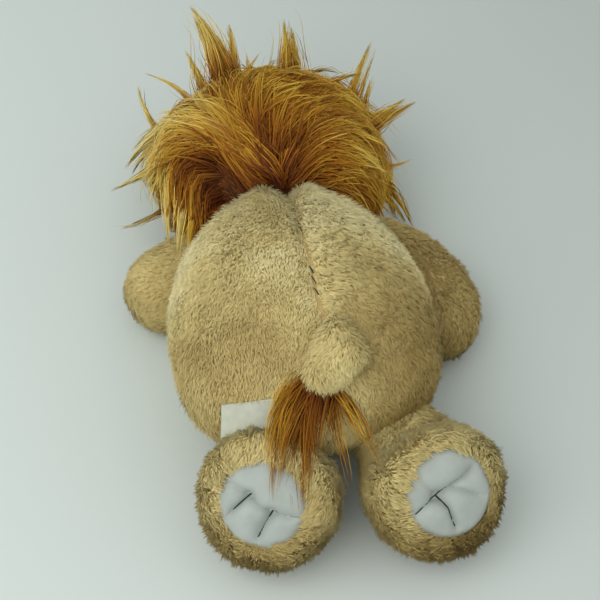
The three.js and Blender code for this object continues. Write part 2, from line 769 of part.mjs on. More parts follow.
// The tuft hangs from under the tail's end over the left leg, clear of the leg at every angle of the hip
function tuft(path, joint, tailRoom, clear) {
  const start = path[path.length - 2];
  const end = path[path.length - 1];
  const route = [
    start.clone(),
    end.clone().add(at(-tuftWidth * 0.2, -tuftWidth * 0.2, 0)),
    end.clone().add(at(-tuftWidth * 0.55, -tuftWidth * 0.9, -tuftThickness * 0.2)),
    end.clone().add(at(-tuftWidth * 0.8, -tuftWidth * 1.5, -tuftThickness * 0.8)),
  ];
  const curve = new THREE.CatmullRomCurve3(route);
  const half = tuftWidth / 2;
  const thick = tuftThickness / 2;
  const sections = [
    [0.03, half * 0.6, thick * 0.5, thick * 0.5],
    [0.3, half * 0.9, thick, thick],
    [0.55, half, thick, thick],
    [0.8, half * 0.66, thick * 0.7, thick * 0.7],
    [0.95, half * 0.3, thick * 0.3, thick * 0.3],
  ];
  const legSweep = sweptRoom(legForm('left', -fit), reversed(hip('left')), limbSteps);
  const solid = solidOf(formAlong(curve, sections, Z, fineSides));
  return largest(solid.subtract(clear).subtract(tailRoom).subtract(legSweep));
}

// The label's path: from its seam on the rump, along the cloth, to an end that curls up
function labelPath() {
  const outer = torsoForm(0);
  const lean = at(0, rumpReach, -rumpReach);
  return labelPathShares.map((share, k) => {
    const seat = seatOn(outer, onTorso(share, torsoAxis).addScaledVector(lean, -1), lean);
    const lift = labelThickness / 2 + fit + (labelCurl * k) / 2;
    return { point: seat.point.addScaledVector(seat.normal, lift), normal: seat.normal };
  });
}

// The sewn edge that the label turns about, so that its free end lifts off the cloth
function labelJoint(path) {
  const [root, , end] = path;
  const axis = end.point.clone().sub(root.point).cross(root.normal).normalize();
  return { point: root.point.clone(), axis, low: 0, high: labelRaiseAngle };
}

// A blank woven label sewn into the rump by one edge
function label() {
  const path = labelPath();
  const root = path[0];
  const toward = path[2].point.clone().sub(root.point).normalize();
  const bent = [root.point, path[1].point, root.point.clone().addScaledVector(toward, labelLength)];
  const curve = new THREE.CatmullRomCurve3(bent);
  const half = labelWidth / 2;
  const thick = labelThickness / 2;
  const sections = [0.01, 0.25, 0.5, 0.75, 0.99].map((place) => [place, half, thick, thick]);
  const form = formAlong(curve, sections, root.normal, fineSides, 12);
  const solid = solidOf(form).subtract(sweptRoom(torsoRoom, labelJoint(path)));
  return piece('label', largest(solid), whiteSatin());
}

const lion = new THREE.Group();
lion.add(torso());
lion.add(head());
for (const side of ['left', 'right']) {
  lion.add(arm(side));
  lion.add(leg(side));
}
lion.add(tail());
lion.add(label());

export default lion;
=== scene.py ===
"""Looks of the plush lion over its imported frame: pile and hair as fine closed strands, and satin soles."""
import json
import math
from itertools import product

import bpy
import numpy as np
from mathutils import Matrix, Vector
from mathutils.kdtree import KDTree

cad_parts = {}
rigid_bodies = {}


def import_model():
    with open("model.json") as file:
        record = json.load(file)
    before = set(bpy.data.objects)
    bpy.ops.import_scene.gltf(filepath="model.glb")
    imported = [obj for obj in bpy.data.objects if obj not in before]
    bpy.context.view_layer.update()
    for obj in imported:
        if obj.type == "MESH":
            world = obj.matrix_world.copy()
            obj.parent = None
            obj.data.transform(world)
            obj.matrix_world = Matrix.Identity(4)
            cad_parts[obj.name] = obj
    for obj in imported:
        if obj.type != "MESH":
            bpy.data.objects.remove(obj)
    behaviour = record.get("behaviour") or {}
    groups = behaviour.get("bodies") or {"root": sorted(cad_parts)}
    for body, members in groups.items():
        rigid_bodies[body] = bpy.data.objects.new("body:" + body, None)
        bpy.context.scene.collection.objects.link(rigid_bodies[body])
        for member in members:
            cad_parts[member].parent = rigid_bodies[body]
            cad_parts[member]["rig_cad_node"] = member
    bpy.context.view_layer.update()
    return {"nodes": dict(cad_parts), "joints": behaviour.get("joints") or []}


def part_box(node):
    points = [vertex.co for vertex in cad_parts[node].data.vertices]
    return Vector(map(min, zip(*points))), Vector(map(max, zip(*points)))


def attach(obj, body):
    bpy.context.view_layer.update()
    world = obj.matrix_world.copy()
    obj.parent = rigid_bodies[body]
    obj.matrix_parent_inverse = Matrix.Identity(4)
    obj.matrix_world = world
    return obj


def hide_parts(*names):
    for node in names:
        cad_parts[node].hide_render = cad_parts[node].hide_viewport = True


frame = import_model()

MM = 0.001
X, Y, Z = np.eye(3)
SIDES = ("left", "right")
rng = np.random.default_rng(7)

# How many strands and hairs there are, and how the pile stands
TORSO_STRANDS, LIMB_STRANDS, SMALL_STRANDS, MUZZLE_STRANDS, EAR_STRANDS = 19800, 19500, 9000, 3500, 3000
MASS_GUIDES, ARC_GUIDES, UNDERCOAT_GUIDES, AIRY_GUIDES = 900, 1500, 5200, 420
HAIR_POINTS, MOST_HAIRS = 8, 4900
ROOT_DEPTH, UPRIGHT_SHARE, UPRIGHT_TURN, PATCH_SIZE = 0.6, 0.14, 26, 34

# The source's named values, in millimetres
TORSO_LENGTH, TORSO_WIDTH, TORSO_BACK, TORSO_BELLY, RUMP_REACH = 196, 175, 60, 62, 123
TORSO_AXIS, TORSO_SQUARENESS, SEAM_DIP, SIDE_SEAM = 61.5, 2.25, 5, 46
NECK_END = TORSO_LENGTH - RUMP_REACH
HEAD_WIDTH, HEAD_LENGTH, HEAD_BACK, HEAD_FACE, HEAD_OFFSET, HEAD_LIE = 120, 114, 46, 44, 9, 60
HEAD_START = NECK_END - 10
HEAD_MIDDLE = HEAD_START + HEAD_LENGTH / 2
HEAD_SEAM = 48
ARM_WIDTH, ARM_BACK, ARM_FRONT = 62, 24, 26
LEG_WIDTH, FOOT_HEEL, FOOT_TOE, FOOT_REACH, SOLE_LIFT, SOLE_RADIUS = 85, 33, 48, 40, 60, 29
HIP_LIFT = {"left": 45, "right": 54}
SOLE_AIM = {"left": (-0.34, -0.66, 0.69), "right": (0.14, -0.7, 0.69)}
MUZZLE = (58, 46, 21)
EAR_WIDTH, EAR_LENGTH, EAR_THICKNESS = 36, 30, 8
LABEL_WIDTH, LABEL_LENGTH = 34, 22

# Sections: the place along the form, then shares of its half width and of its heights up and down.
# The torso's last column is how deep its seam is drawn in.
TORSO = [
    (0.012, 0.25, 0.22, 0.26, 0), (0.05, 0.57, 0.44, 0.5, 0), (0.12, 0.8, 0.65, 0.73, 0),
    (0.21, 0.93, 0.81, 0.89, 0.1), (0.32, 0.985, 0.93, 0.98, 0.2), (0.43, 1, 0.99, 1, 0.3),
    (0.54, 0.98, 1, 1, 0.35), (0.65, 0.925, 0.97, 1, 0.45), (0.75, 0.83, 0.91, 1, 0.6),
    (0.84, 0.7, 0.81, 0.96, 0.8), (0.91, 0.57, 0.69, 0.82, 1), (0.965, 0.42, 0.52, 0.6, 1),
    (0.992, 0.23, 0.3, 0.33, 0.6)]
HEAD = [
    (0.015, 0.24, 0.24, 0.26), (0.07, 0.52, 0.52, 0.54), (0.18, 0.79, 0.78, 0.82),
    (0.33, 0.96, 0.95, 0.98), (0.5, 1, 1, 1), (0.66, 0.96, 0.96, 0.93), (0.81, 0.8, 0.8, 0.76),
    (0.92, 0.57, 0.57, 0.54), (0.985, 0.26, 0.26, 0.25)]
ARM = [
    (0.02, 0.44, 0.42, 0.42), (0.12, 0.6, 0.6, 0.6), (0.28, 0.8, 0.82, 0.82), (0.45, 0.94, 0.95, 0.95),
    (0.6, 1, 1, 1), (0.75, 0.96, 0.97, 0.97), (0.87, 0.79, 0.84, 0.84), (0.95, 0.53, 0.6, 0.6),
    (0.99, 0.25, 0.3, 0.3)]
LEG = [
    (0.02, 0.5, 0.52, 0.5), (0.2, 0.55, 0.55, 0.56), (0.38, 0.65, 0.6, 0.68), (0.54, 0.82, 0.7, 0.85),
    (0.68, 0.96, 0.85, 0.97), (0.8, 1, 0.97, 1), (0.9, 0.96, 0.99, 0.94), (0.965, 0.86, 0.95, 0.82)]
EAR = [(0.02, 0.72, 0.5), (0.3, 0.88, 0.8), (0.58, 1, 1), (0.8, 0.84, 0.9), (0.94, 0.5, 0.6), (1, 0.05, 0.1)]
# Routes, as shares of the torso's half width and of its length.
ARM_PATH = {
    "left": [(-0.37, 0.948, 1), (-0.62, 0.948, 0.25), (-0.87, 0.908, -0.15), (-1.2, 0.778, -0.05)],
    "right": [(0.59, 0.908, 1), (1.06, 0.878, 0.25), (1.25, 0.658, -0.15), (1.15, 0.408, -0.05)]}
LEG_PATH = {"left": ((-0.28, 0.208), (-0.55, -0.182)), "right": ((0.44, 0.208), (0.73, -0.257))}
TAIL_PATH = [(0.17, 0.268), (0.15, 0.198), (0.11, 0.138), (0.07, 0.098)]
LABEL_PATH = [(-0.54, 0.246), (-0.55, 0.178), (-0.56, 0.108)]


# Small helpers
def unit(v):
    v = np.asarray(v, float)
    return v / np.maximum(np.linalg.norm(v, axis=-1, keepdims=True), 1e-9)


def smooth(a, b, x):
    t = np.clip((np.asarray(x, float) - a) / (b - a), 0, 1)
    return t * t * (3 - 2 * t)


def bell(x, width, power=2):
    return np.exp(-np.abs(np.asarray(x) / width) ** power)


def srgb(*rgb):
    c = np.array(rgb, float) / 255
    return tuple(np.where(c <= 0.04045, c / 12.92, ((c + 0.055) / 1.055) ** 2.4)) + (1.0,)


def noise(points, size, seed=0):
    """Smooth value noise from -1 to 1, with lumps about `size` across."""
    p = np.asarray(points, float) / size + seed * 17.317
    i = np.floor(p).astype(np.int64)
    f = p - i
    f = f * f * (3 - 2 * f)
    total = np.zeros(len(p))
    for corner in product((0, 1), repeat=3):
        cell = i + corner
        h = cell[:, 0] * 73856093 ^ cell[:, 1] * 19349663 ^ cell[:, 2] * 83492791
        h = (h ^ (h >> 13)) * 1274126177 & 0x7FFFFFFF
        value = ((h ^ (h >> 15)) & 0xFFFF) / 32767.5 - 1
        total += value * np.where(corner, f, 1 - f).prod(1)
    return total


def pchip(x, y, q):
    """Monotone cubic through the points of a table."""
    x, y, q = (np.asarray(v, float) for v in (x, y, q))
    h = np.diff(x)
    d = np.diff(y) / h
    m = np.concatenate([d[:1], np.zeros(len(d) - 1), d[-1:]])
    both = d[:-1] * d[1:] > 0
    m[1:-1][both] = (2 * d[:-1] * d[1:])[both] / (d[:-1] + d[1:])[both]
    i = np.clip(np.searchsorted(x, q) - 1, 0, len(h) - 1)
    t = np.clip((q - x[i]) / h[i], 0, 1)
    return ((2 * t ** 3 - 3 * t * t + 1) * y[i] + (t ** 3 - 2 * t * t + t) * h[i] * m[i]
            + (3 * t * t - 2 * t ** 3) * y[i + 1] + (t ** 3 - t * t) * h[i] * m[i + 1])


def round_places(count):
    """Places from 0 to 1 that crowd towards both ends, as the rings of a ball do."""
    return (1 - np.cos(np.pi * (np.arange(count) + 0.5) / count)) / 2


def rounded(table, column, places):
    """A table's column with smooth round ends: its ratio to a half circle is what is interpolated."""
    s = np.array([row[0] for row in table])
    v = np.array([row[column] for row in table])
    turn = np.arccos(1 - 2 * s)
    q = np.arccos(1 - 2 * np.clip(places, 0, 1))
    ratio = pchip(turn, v / np.sin(turn), np.clip(q, turn[0], turn[-1]))
    return ratio * np.sin(q)


def on_torso(share, height):
    return np.array([share[0] * TORSO_WIDTH / 2, share[1] * TORSO_LENGTH - RUMP_REACH, height])


def resample(line, count):
    """Points spread evenly along a smooth line."""
    line = np.array(line, float)
    run = np.concatenate([[0], np.cumsum(np.linalg.norm(np.diff(line, axis=0), axis=1))])
    run /= run[-1]
    at = np.linspace(0, 1, count)
    return np.stack([pchip(run, line[:, k], at) for k in range(line.shape[1])], 1)


# Meshes
def mesh_object(name, points, faces, finish, uv=None, normals=None):
    """An object from points in millimetres and faces of one size. uv and normals are given for each point."""
    faces = np.asarray(faces, np.int32)
    count, size = faces.shape
    mesh = bpy.data.meshes.new(name)
    mesh.vertices.add(len(points))
    mesh.vertices.foreach_set("co", (np.asarray(points) * MM).astype(np.float32).ravel())
    mesh.loops.add(count * size)
    mesh.loops.foreach_set("vertex_index", faces.ravel())
    mesh.polygons.add(count)
    mesh.polygons.foreach_set("loop_start", np.arange(0, count * size, size, dtype=np.int32))
    mesh.polygons.foreach_set("loop_total", np.full(count, size, np.int32))
    mesh.update(calc_edges=True)
    mesh.polygons.foreach_set("use_smooth", np.full(count, True))
    if uv is not None:
        layer = mesh.uv_layers.new(name="OFBake")
        layer.data.foreach_set("uv", np.asarray(uv, np.float32)[faces.ravel()].ravel())
    mesh.materials.append(finish)
    mesh.validate()
    if normals is not None:
        mesh.normals_split_custom_set_from_vertices(normals.astype(np.float32))
    obj = bpy.data.objects.new(name, mesh)
    bpy.context.scene.collection.objects.link(obj)
    return obj


def grid_faces(rings, sides):
    """Triangles of a closed form: pole, rings of points, pole."""
    j = np.arange(sides)
    k = (j + 1) % sides
    faces = [np.stack([np.zeros(sides, int), 1 + k, 1 + j], 1)]
    for i in range(rings - 1):
        a, b = 1 + i * sides, 1 + (i + 1) * sides
        faces += [np.stack([a + j, a + k, b + k], 1), np.stack([a + j, b + k, b + j], 1)]
    a = 1 + (rings - 1) * sides
    faces.append(np.stack([np.full(sides, 1 + rings * sides), a + j, a + k], 1))
    return np.concatenate(faces)


class Form:
    """A rounded form as a grid of points: rings along it, each with the same number of sides."""

    def __init__(self, centre, across, up, half, rise, drop, first, last, sides, squareness=2.0):
        turn = 2 * math.pi * np.arange(sides) / sides
        x, y = (np.sign(v) * np.abs(v) ** (2 / squareness) for v in (np.cos(turn), np.sin(turn)))
        height = np.where(y[None] > 0, rise[:, None], drop[:, None]) * y[None]
        self.grid = (centre[:, None] + across[:, None] * (half[:, None] * x[None])[..., None]
                     + up[:, None] * height[..., None])
        self.first, self.last = np.array(first, float), np.array(last, float)
        self.along = unit(np.gradient(centre, axis=0))
        self.rings, self.sides = self.grid.shape[:2]

    def normals(self):
        around = np.roll(self.grid, -1, 1) - np.roll(self.grid, 1, 1)
        ends = [np.broadcast_to(end, (1, self.sides, 3)) for end in (self.first, self.last)]
        closed = np.concatenate([ends[0], self.grid, ends[1]])
        return unit(np.cross(around, closed[2:] - closed[:-2]))

    def displace(self, amount):
        """Moves each point along its normal by amount(points, normals)."""
        normals = self.normals().reshape(-1, 3)
        flat = self.grid.reshape(-1, 3)
        self.grid = (flat + normals * amount(flat, normals)[:, None]).reshape(self.grid.shape)

    def press(self):
        """Flattens what would reach under the floor."""
        self.grid[..., 2] = np.maximum(self.grid[..., 2], 0)

    def mesh(self, name, finish):
        points = np.concatenate([self.first[None], self.grid.reshape(-1, 3), self.last[None]])
        return mesh_object(name, points, grid_faces(self.rings, self.sides), finish)

    def sample(self, count, keep=None):
        """Points spread evenly over the surface, with the normal and the form's own direction there."""
        normals = self.normals()
        p, q = self.grid[:-1], self.grid[1:]
        area = np.linalg.norm(np.cross(q - p, np.roll(p, -1, 1) - p), axis=-1)
        share = np.cumsum(area.ravel()) / area.sum()
        found = []
        got = 0
        while got < count:
            pick = np.minimum(np.searchsorted(share, rng.random(count * 2)), len(share) - 1)
            i, j = np.divmod(pick, self.sides)
            k = (j + 1) % self.sides
            a, b = rng.random((2, len(pick), 1))

            def mix(g):
                near, far = (g[i, at] * (1 - a) + g[i + 1, at] * a for at in (j, k))
                return near * (1 - b) + far * b

            points, facing, along = mix(self.grid), unit(mix(normals)), self.along[i]
            if keep is not None:
                ok = keep(points, facing)
                points, facing, along = points[ok], facing[ok], along[ok]
            found.append((points, facing, along))
            got += len(points)
        return [np.concatenate(part)[:count] for part in zip(*found)]


def straight_form(table, length, start, x, z, half, rise, drop, rings, sides, squareness=2.0):
    """A form along Y, from a table of its sections."""
    places = round_places(rings)
    centre = np.stack([np.full(rings, x), start + places * length, np.full(rings, z)], 1)
    return Form(centre, -X[None], Z[None], rounded(table, 1, places) * half, rounded(table, 2, places) * rise,
                rounded(table, 3, places) * drop, (x, start, z), (x, start + length, z), sides, squareness)


def ball(name, centre, radii, finish, rings=24, sides=48, shape=None, drop=1.0):
    """A rounded form along Y. drop is its depth below the middle as a share of its height above."""
    turn = np.pi * (np.arange(rings) + 0.5) / rings
    centre = np.asarray(centre, float)
    height = np.sin(turn) * radii[2]
    form = Form(centre - Y * (np.cos(turn) * radii[1])[:, None], -X[None], Z[None], np.sin(turn) * radii[0],
                height, height * drop, centre - Y * radii[1], centre + Y * radii[1], sides)
    if shape:
        form.displace(shape)
    form.press()
    return form, form.mesh(name, finish)


def bezier_frames(control, places):
    """Points along a cubic curve, with the ways across it and up from it."""
    c = np.array(control, float)
    t = np.linspace(0, 1, 401)[:, None]

    def point(u):
        return (1 - u) ** 3 * c[0] + 3 * (1 - u) ** 2 * u * c[1] + 3 * (1 - u) * u * u * c[2] + u ** 3 * c[3]

    steps = np.linalg.norm(np.diff(point(t), axis=0), axis=1)
    run = np.concatenate([[0], np.cumsum(steps)]) / steps.sum()
    u = np.interp(places, run, t[:, 0])[:, None]
    pulls = ((1 - u) ** 2, c[1] - c[0]), (2 * (1 - u) * u, c[2] - c[1]), (u * u, c[3] - c[2])
    tangent = unit(sum(3 * share * leg for share, leg in pulls))
    across = unit(np.cross(Z, tangent))
    return point(u), across, np.cross(tangent, across)


def tube(name, path, radius, finish, sides=8):
    """A closed round thread along points."""
    path = np.asarray(path, float)
    tangent = unit(np.gradient(path, axis=0))
    across = unit(np.cross(tangent, Z + 0.01 * X))
    thick = np.full(len(path), radius)
    form = Form(path, across, np.cross(tangent, across), thick, thick, thick, path[0] - tangent[0] * radius,
                path[-1] + tangent[-1] * radius, sides)
    return form.mesh(name, finish)


# Strands: closed three-sided hairs
def strand_mesh(name, paths, widths, flatness, facing, tone, finish, soften):
    """Hairs as one mesh. paths is (hairs, points, 3), and every ring but the tip has its own width. soften
    turns their shading towards the way that the cloth faces, as fine fibres scatter light."""
    count, steps = paths.shape[:2]
    tangent = unit(np.gradient(paths, axis=1))
    side = unit(np.cross(tangent, facing[:, None]))
    lift = np.cross(side, tangent)
    turn = 2 * math.pi * np.arange(3) / 3 + math.pi / 2
    ring = (side[:, :-1, None] * np.cos(turn)[None, None, :, None]
            + lift[:, :-1, None] * (np.sin(turn) * flatness)[None, None, :, None])
    body = paths[:, :-1, None] + ring * widths[:, :-1, None, None] / 2
    points = np.concatenate([body.reshape(count, -1, 3), paths[:, -1:]], 1)
    size = points.shape[1]
    faces = [(0, 1, 2)]
    for k, j in product(range(steps - 2), range(3)):
        a, b = k * 3 + j, k * 3 + (j + 1) % 3
        faces += [(a, b + 3, b), (a, a + 3, b + 3)]
    last = (steps - 2) * 3
    faces += [(last + (j + 1) % 3, last + j, size - 1) for j in range(3)]
    faces = (np.array(faces)[None] + (np.arange(count) * size)[:, None, None]).reshape(-1, 3)
    run = np.concatenate([np.repeat(np.arange(steps - 1), 3), [steps - 1]]) / (steps - 1)
    shift = np.concatenate([np.tile([-0.012, 0, 0.012], steps - 1), [0]])
    uv = np.stack([np.clip(tone[:, None] + shift[None], 0.002, 0.998),
                   np.broadcast_to(0.02 + 0.96 * run[None], (count, size))], -1)
    own = np.concatenate([unit(ring).reshape(count, -1, 3), tangent[:, -1:]], 1)
    normals = unit(own * (1 - soften) + facing[:, None] * soften).reshape(-1, 3)
    points = points.reshape(-1, 3)
    points[:, 2] = np.maximum(points[:, 2], 0.15)
    return mesh_object(name, points, faces, finish, uv.reshape(-1, 2), normals)


def clumped(points, clump):
    """For each point, which point's tuft it is drawn to."""
    count = len(points)
    centres = rng.permutation(count)[:max(8, int(count / (clump * clump * 0.9)))]
    tree = KDTree(len(centres))
    for k, c in enumerate(centres):
        tree.insert(points[c], k)
    tree.balance()
    return centres[[tree.find(p)[1] for p in points]]


def pile(name, sampled, length, width, lay, clump=5.0, pull=0.45, lean=(38, 66), swirl=0.6, tone=0.0,
         patches=0.16, grow=None):
    """Short pile: strands that lean along `lay`, matted in clumps that swirl a little. pull and tone are
    numbers or functions of the points."""
    points, facing, along = sampled
    count = len(points)
    flow = lay(points, facing, along)
    flow = unit(flow - facing * (flow * facing).sum(1, keepdims=True))
    aside = np.cross(facing, flow)
    turn = swirl * (noise(points, 22, 3) + 0.7 * noise(points, 8, 5)) + 0.22 * rng.standard_normal(count)
    turn = turn[:, None]
    flow = flow * np.cos(turn) + aside * np.sin(turn)
    size = length * (1 + 0.2 * noise(points, 11, 7) + 0.1 * rng.standard_normal(count))
    size = np.clip(size, length * 0.45, length * 1.6)[:, None]
    ruffle = 10 * noise(points, 24, 9) + 5 * noise(points, 9, 10)
    first = np.radians(lean[0] + ruffle + 5 * rng.standard_normal(count))[:, None]
    second = np.radians(lean[1] + ruffle + 6 * rng.standard_normal(count))[:, None]
    upright = (rng.random(count) < UPRIGHT_SHARE)[:, None]
    first, second = (angle - np.radians(UPRIGHT_TURN) * upright for angle in (first, second))
    size = size * (1 + 0.25 * upright)
    if grow is not None:
        size = size * grow(points)[:, None]
    root = points - facing * ROOT_DEPTH
    middle = root + (facing * np.cos(first) + flow * np.sin(first)) * size * 0.5
    tip = middle + (facing * np.cos(second) + flow * np.sin(second)) * size * 0.5
    near = clumped(points, clump)
    spread = ((pull(points) if callable(pull) else pull) * (0.75 + 0.5 * rng.random(count)))[:, None]
    tip = tip + (tip[near] - tip) * spread
    middle = middle + (middle[near] - middle) * spread * 0.35
    shade = (0.5 + (tone(points) if callable(tone) else tone) + patches * noise(points, PATCH_SIZE, 11)
             + 0.1 * noise(points, 12, 13) + 0.04 * rng.standard_normal(count))
    paths = np.stack([root, middle, tip], 1)
    widths = np.array([0.9, 1, 0]) * width * (0.8 + 0.4 * rng.random((count, 1)))
    return strand_mesh(name, paths, widths, 0.55, facing, np.clip(shade, 0.02, 0.98), cream_hair, 0.8)


# Materials
def new_material(name, roughness=0.8, sheen=0.0, specular=0.5):
    finish = bpy.data.materials.new(name)
    finish.use_nodes = True
    shader = finish.node_tree.nodes["Principled BSDF"]
    shader.inputs["Roughness"].default_value = roughness
    shader.inputs["Sheen Weight"].default_value = sheen
    shader.inputs["Specular IOR Level"].default_value = specular
    return finish, finish.node_tree, shader


def ramp(tree, stops, factor):
    """Colours along a factor. Each stop is its place and its sRGB colour."""
    node = tree.nodes.new("ShaderNodeValToRGB")
    elements = node.color_ramp.elements
    while len(elements) < len(stops):
        elements.new(0.5)
    for element, (place, *colour) in zip(elements, stops):
        element.position = place
        element.color = srgb(*colour)
    tree.links.new(factor, node.inputs["Fac"])
    return node.outputs["Color"]


def hair_material(name, tones, roots, roughness=0.8, sheen=0.0, specular=0.2, tint=(255, 255, 255)):
    """Colour by the hair's tone across and from root to tip along."""
    finish, tree, shader = new_material(name, roughness, sheen, specular)
    shader.inputs["Sheen Tint"].default_value = srgb(*tint)
    uv = tree.nodes.new("ShaderNodeUVMap")
    uv.uv_map = "OFBake"
    split = tree.nodes.new("ShaderNodeSeparateXYZ")
    tree.links.new(uv.outputs["UV"], split.inputs["Vector"])
    mixed = tree.nodes.new("ShaderNodeMix")
    mixed.data_type = "RGBA"
    mixed.blend_type = "MULTIPLY"
    mixed.inputs["Factor"].default_value = 1
    tree.links.new(ramp(tree, tones, split.outputs["X"]), mixed.inputs["A"])
    tree.links.new(ramp(tree, roots, split.outputs["Y"]), mixed.inputs["B"])
    tree.links.new(mixed.outputs["Result"], shader.inputs["Base Color"])
    return finish


def cloth_material(name, dark, light, size=4.0, roughness=0.9, sheen=0.3, bump=0.3, fine=0.6, specular=0.3):
    """Cloth: two close colours in soft patches, with a fine grain in its relief. Sizes are in millimetres."""
    finish, tree, shader = new_material(name, roughness, sheen, specular)
    place = tree.nodes.new("ShaderNodeTexCoord").outputs["Object"]
    patches = tree.nodes.new("ShaderNodeTexNoise")
    grain = tree.nodes.new("ShaderNodeTexNoise")
    for node, across, detail in ((patches, size, 4), (grain, fine, 3)):
        node.inputs["Scale"].default_value = 1 / (across * MM)
        node.inputs["Detail"].default_value = detail
        tree.links.new(place, node.inputs["Vector"])
    colour = ramp(tree, [(0.3, *dark), (0.7, *light)], patches.outputs["Fac"])
    tree.links.new(colour, shader.inputs["Base Color"])
    relief = tree.nodes.new("ShaderNodeBump")
    relief.inputs["Strength"].default_value = bump
    relief.inputs["Distance"].default_value = 0.4 * MM
    tree.links.new(grain.outputs["Fac"], relief.inputs["Height"])
    tree.links.new(relief.outputs["Normal"], shader.inputs["Normal"])
    return finish


CREAM = [
    (0, 154, 131, 75), (0.3, 186, 165, 105), (0.55, 211, 193, 131), (0.8, 235, 220, 156), (1, 248, 238, 184)]
CREAM_ROOTS = [(0, 226, 214, 190), (0.35, 243, 236, 224), (0.8, 255, 255, 255)]
RUST = [(0, 128, 74, 12), (0.25, 188, 138, 34), (0.5, 218, 178, 64), (0.75, 234, 202, 94), (1, 246, 226, 146)]
RUST_ROOTS = [(0, 100, 56, 26), (0.25, 186, 146, 104), (0.55, 240, 228, 206), (0.8, 255, 255, 255)]

cream_hair = hair_material("cream_pile", CREAM, CREAM_ROOTS, sheen=0.22, tint=(236, 218, 166))
rust_hair = hair_material("rust_hair", RUST, RUST_ROOTS, roughness=0.6, specular=0.16)
cream_cloth = cloth_material("cream_backing", (190, 166, 112), (206, 184, 130), sheen=0.1)
# The rust backing's colour is partly its own and partly painted shade: it is as dark as the shade deep in the
# mane, where it shows under the hair.
rust_cloth_and_shade = cloth_material("rust_backing", (52, 26, 8), (84, 46, 14), sheen=0)
satin = cloth_material("white_satin_nap", (157, 165, 159), (170, 178, 172), size=12, roughness=0.6,
                       sheen=0.25, bump=0.12, fine=0.9)
tape = cloth_material("label_tape", (178, 182, 167), (190, 194, 179), size=6, roughness=0.7, sheen=0.1,
                      bump=0.2, fine=0.5)
thread = cloth_material("dark_thread", (22, 22, 24), (44, 44, 48), size=1, roughness=0.6, sheen=0.2)
grey_thread = cloth_material("grey_thread", (120, 126, 126), (150, 156, 156), size=1, roughness=0.6)
black = cloth_material("black_moulding", (14, 11, 9), (24, 19, 16), roughness=0.16, sheen=0, bump=0.03,
                       specular=0.5)
washer = cloth_material("washer_moulding", (214, 214, 208), (226, 226, 220), size=3, roughness=0.5, sheen=0,
                        bump=0.05)

# Torso
SEAM_X = 7.0
torso = straight_form(TORSO, TORSO_LENGTH, -RUMP_REACH, 0, TORSO_AXIS, TORSO_WIDTH / 2, TORSO_BACK,
                      TORSO_BELLY, 96, 256, TORSO_SQUARENESS)


def seam_depth(y):
    share = (y + RUMP_REACH) / TORSO_LENGTH
    return SEAM_DIP * np.interp(share, [row[0] for row in TORSO], [row[4] for row in TORSO])


def torso_relief(points, facing):
    """The drawn-in seam, the two lobes that it makes at the neck, a crease low on the left and lumps."""
    x, y, z = points.T
    apart = x - SEAM_X
    back = smooth(0.2, 0.7, facing[:, 2]) * smooth(NECK_END + 1, NECK_END - 14, y)
    seam = -(1.2 + 1.9 * seam_depth(y) * (1 - 0.65 * smooth(0, 40, y))) * bell(apart, 6, 1.3) * back
    seam -= 4 * bell(apart, 2.4) * smooth(8, 36, y) * back
    notch = 2.5 * bell(np.abs(apart) - 16, 9) - 24 * bell(apart, 5.4, 1.7)
    notch *= smooth(44, 66, y) * smooth(80, 94, z)
    crease = -2.6 * bell((x + 47) * 0.35 + (y + 52), 7) * bell(x + 47, 26) * smooth(0.2, 0.7, facing[:, 2])
    return seam + notch + crease + 0.9 * noise(points, 30, 1) + 0.5 * noise(points, 13, 2)


torso.displace(torso_relief)
torso.press()
torso_skin = torso.mesh("torso_skin", cream_cloth)


def torso_depth(points, extra=0.0):
    """Under 1 inside the torso's form, grown by extra."""
    x, y, z = np.asarray(points).T
    share = np.clip((y + RUMP_REACH) / TORSO_LENGTH, 0.001, 0.999)
    half = rounded(TORSO, 1, share) * TORSO_WIDTH / 2 + extra
    back, belly = rounded(TORSO, 2, share) * TORSO_BACK, rounded(TORSO, 3, share) * TORSO_BELLY
    tall = np.where(z > TORSO_AXIS, back, belly) + extra
    value = (np.abs(x) / half) ** TORSO_SQUARENESS + (np.abs(z - TORSO_AXIS) / tall) ** TORSO_SQUARENESS
    return np.where((y < -RUMP_REACH - extra) | (y > NECK_END + extra), 9, value)


def seat(origin, aim):
    """Where a line first meets the torso's skin, and the normal there, in millimetres."""
    place, normal = torso_skin.ray_cast(Vector(np.asarray(origin) * MM), Vector(unit(aim)))[1:3]
    return np.array(place) / MM, np.array(normal)


# Where the label is sewn on: its root, the way it points and the way across it.
down_back = np.array([0, 1.0, -1.0])
seats = [seat(on_torso(share, TORSO_AXIS) - down_back * 130, down_back) for share in LABEL_PATH]
label_point, label_normal = seats[0]
label_way = unit(seats[2][0] + seats[2][1] * 3 - label_point)
label_across = unit(np.cross(label_normal, label_way))


def under_label(points):
    """Which points lie under the label, where its tape presses the pile away."""
    apart = points - label_point
    along, aside, off = apart @ label_way, apart @ label_across, apart @ label_normal
    within = np.abs(aside) < LABEL_WIDTH / 2 + 1
    return within & (along > -1.5) & (along < LABEL_LENGTH - 1) & (np.abs(off) < 9)


def torso_lay(points, facing, along):
    """Down the back, and parted at the seam."""
    apart = points[:, 0] - SEAM_X
    part = np.tanh(apart / 3) * 0.9 * smooth(0.3, 0.8, facing[:, 2]) * bell(apart, 12, 1)
    return -Y[None] + X[None] * part[:, None] - Z[None] * 0.25 + X[None] * (0.0035 * points[:, 0])[:, None]


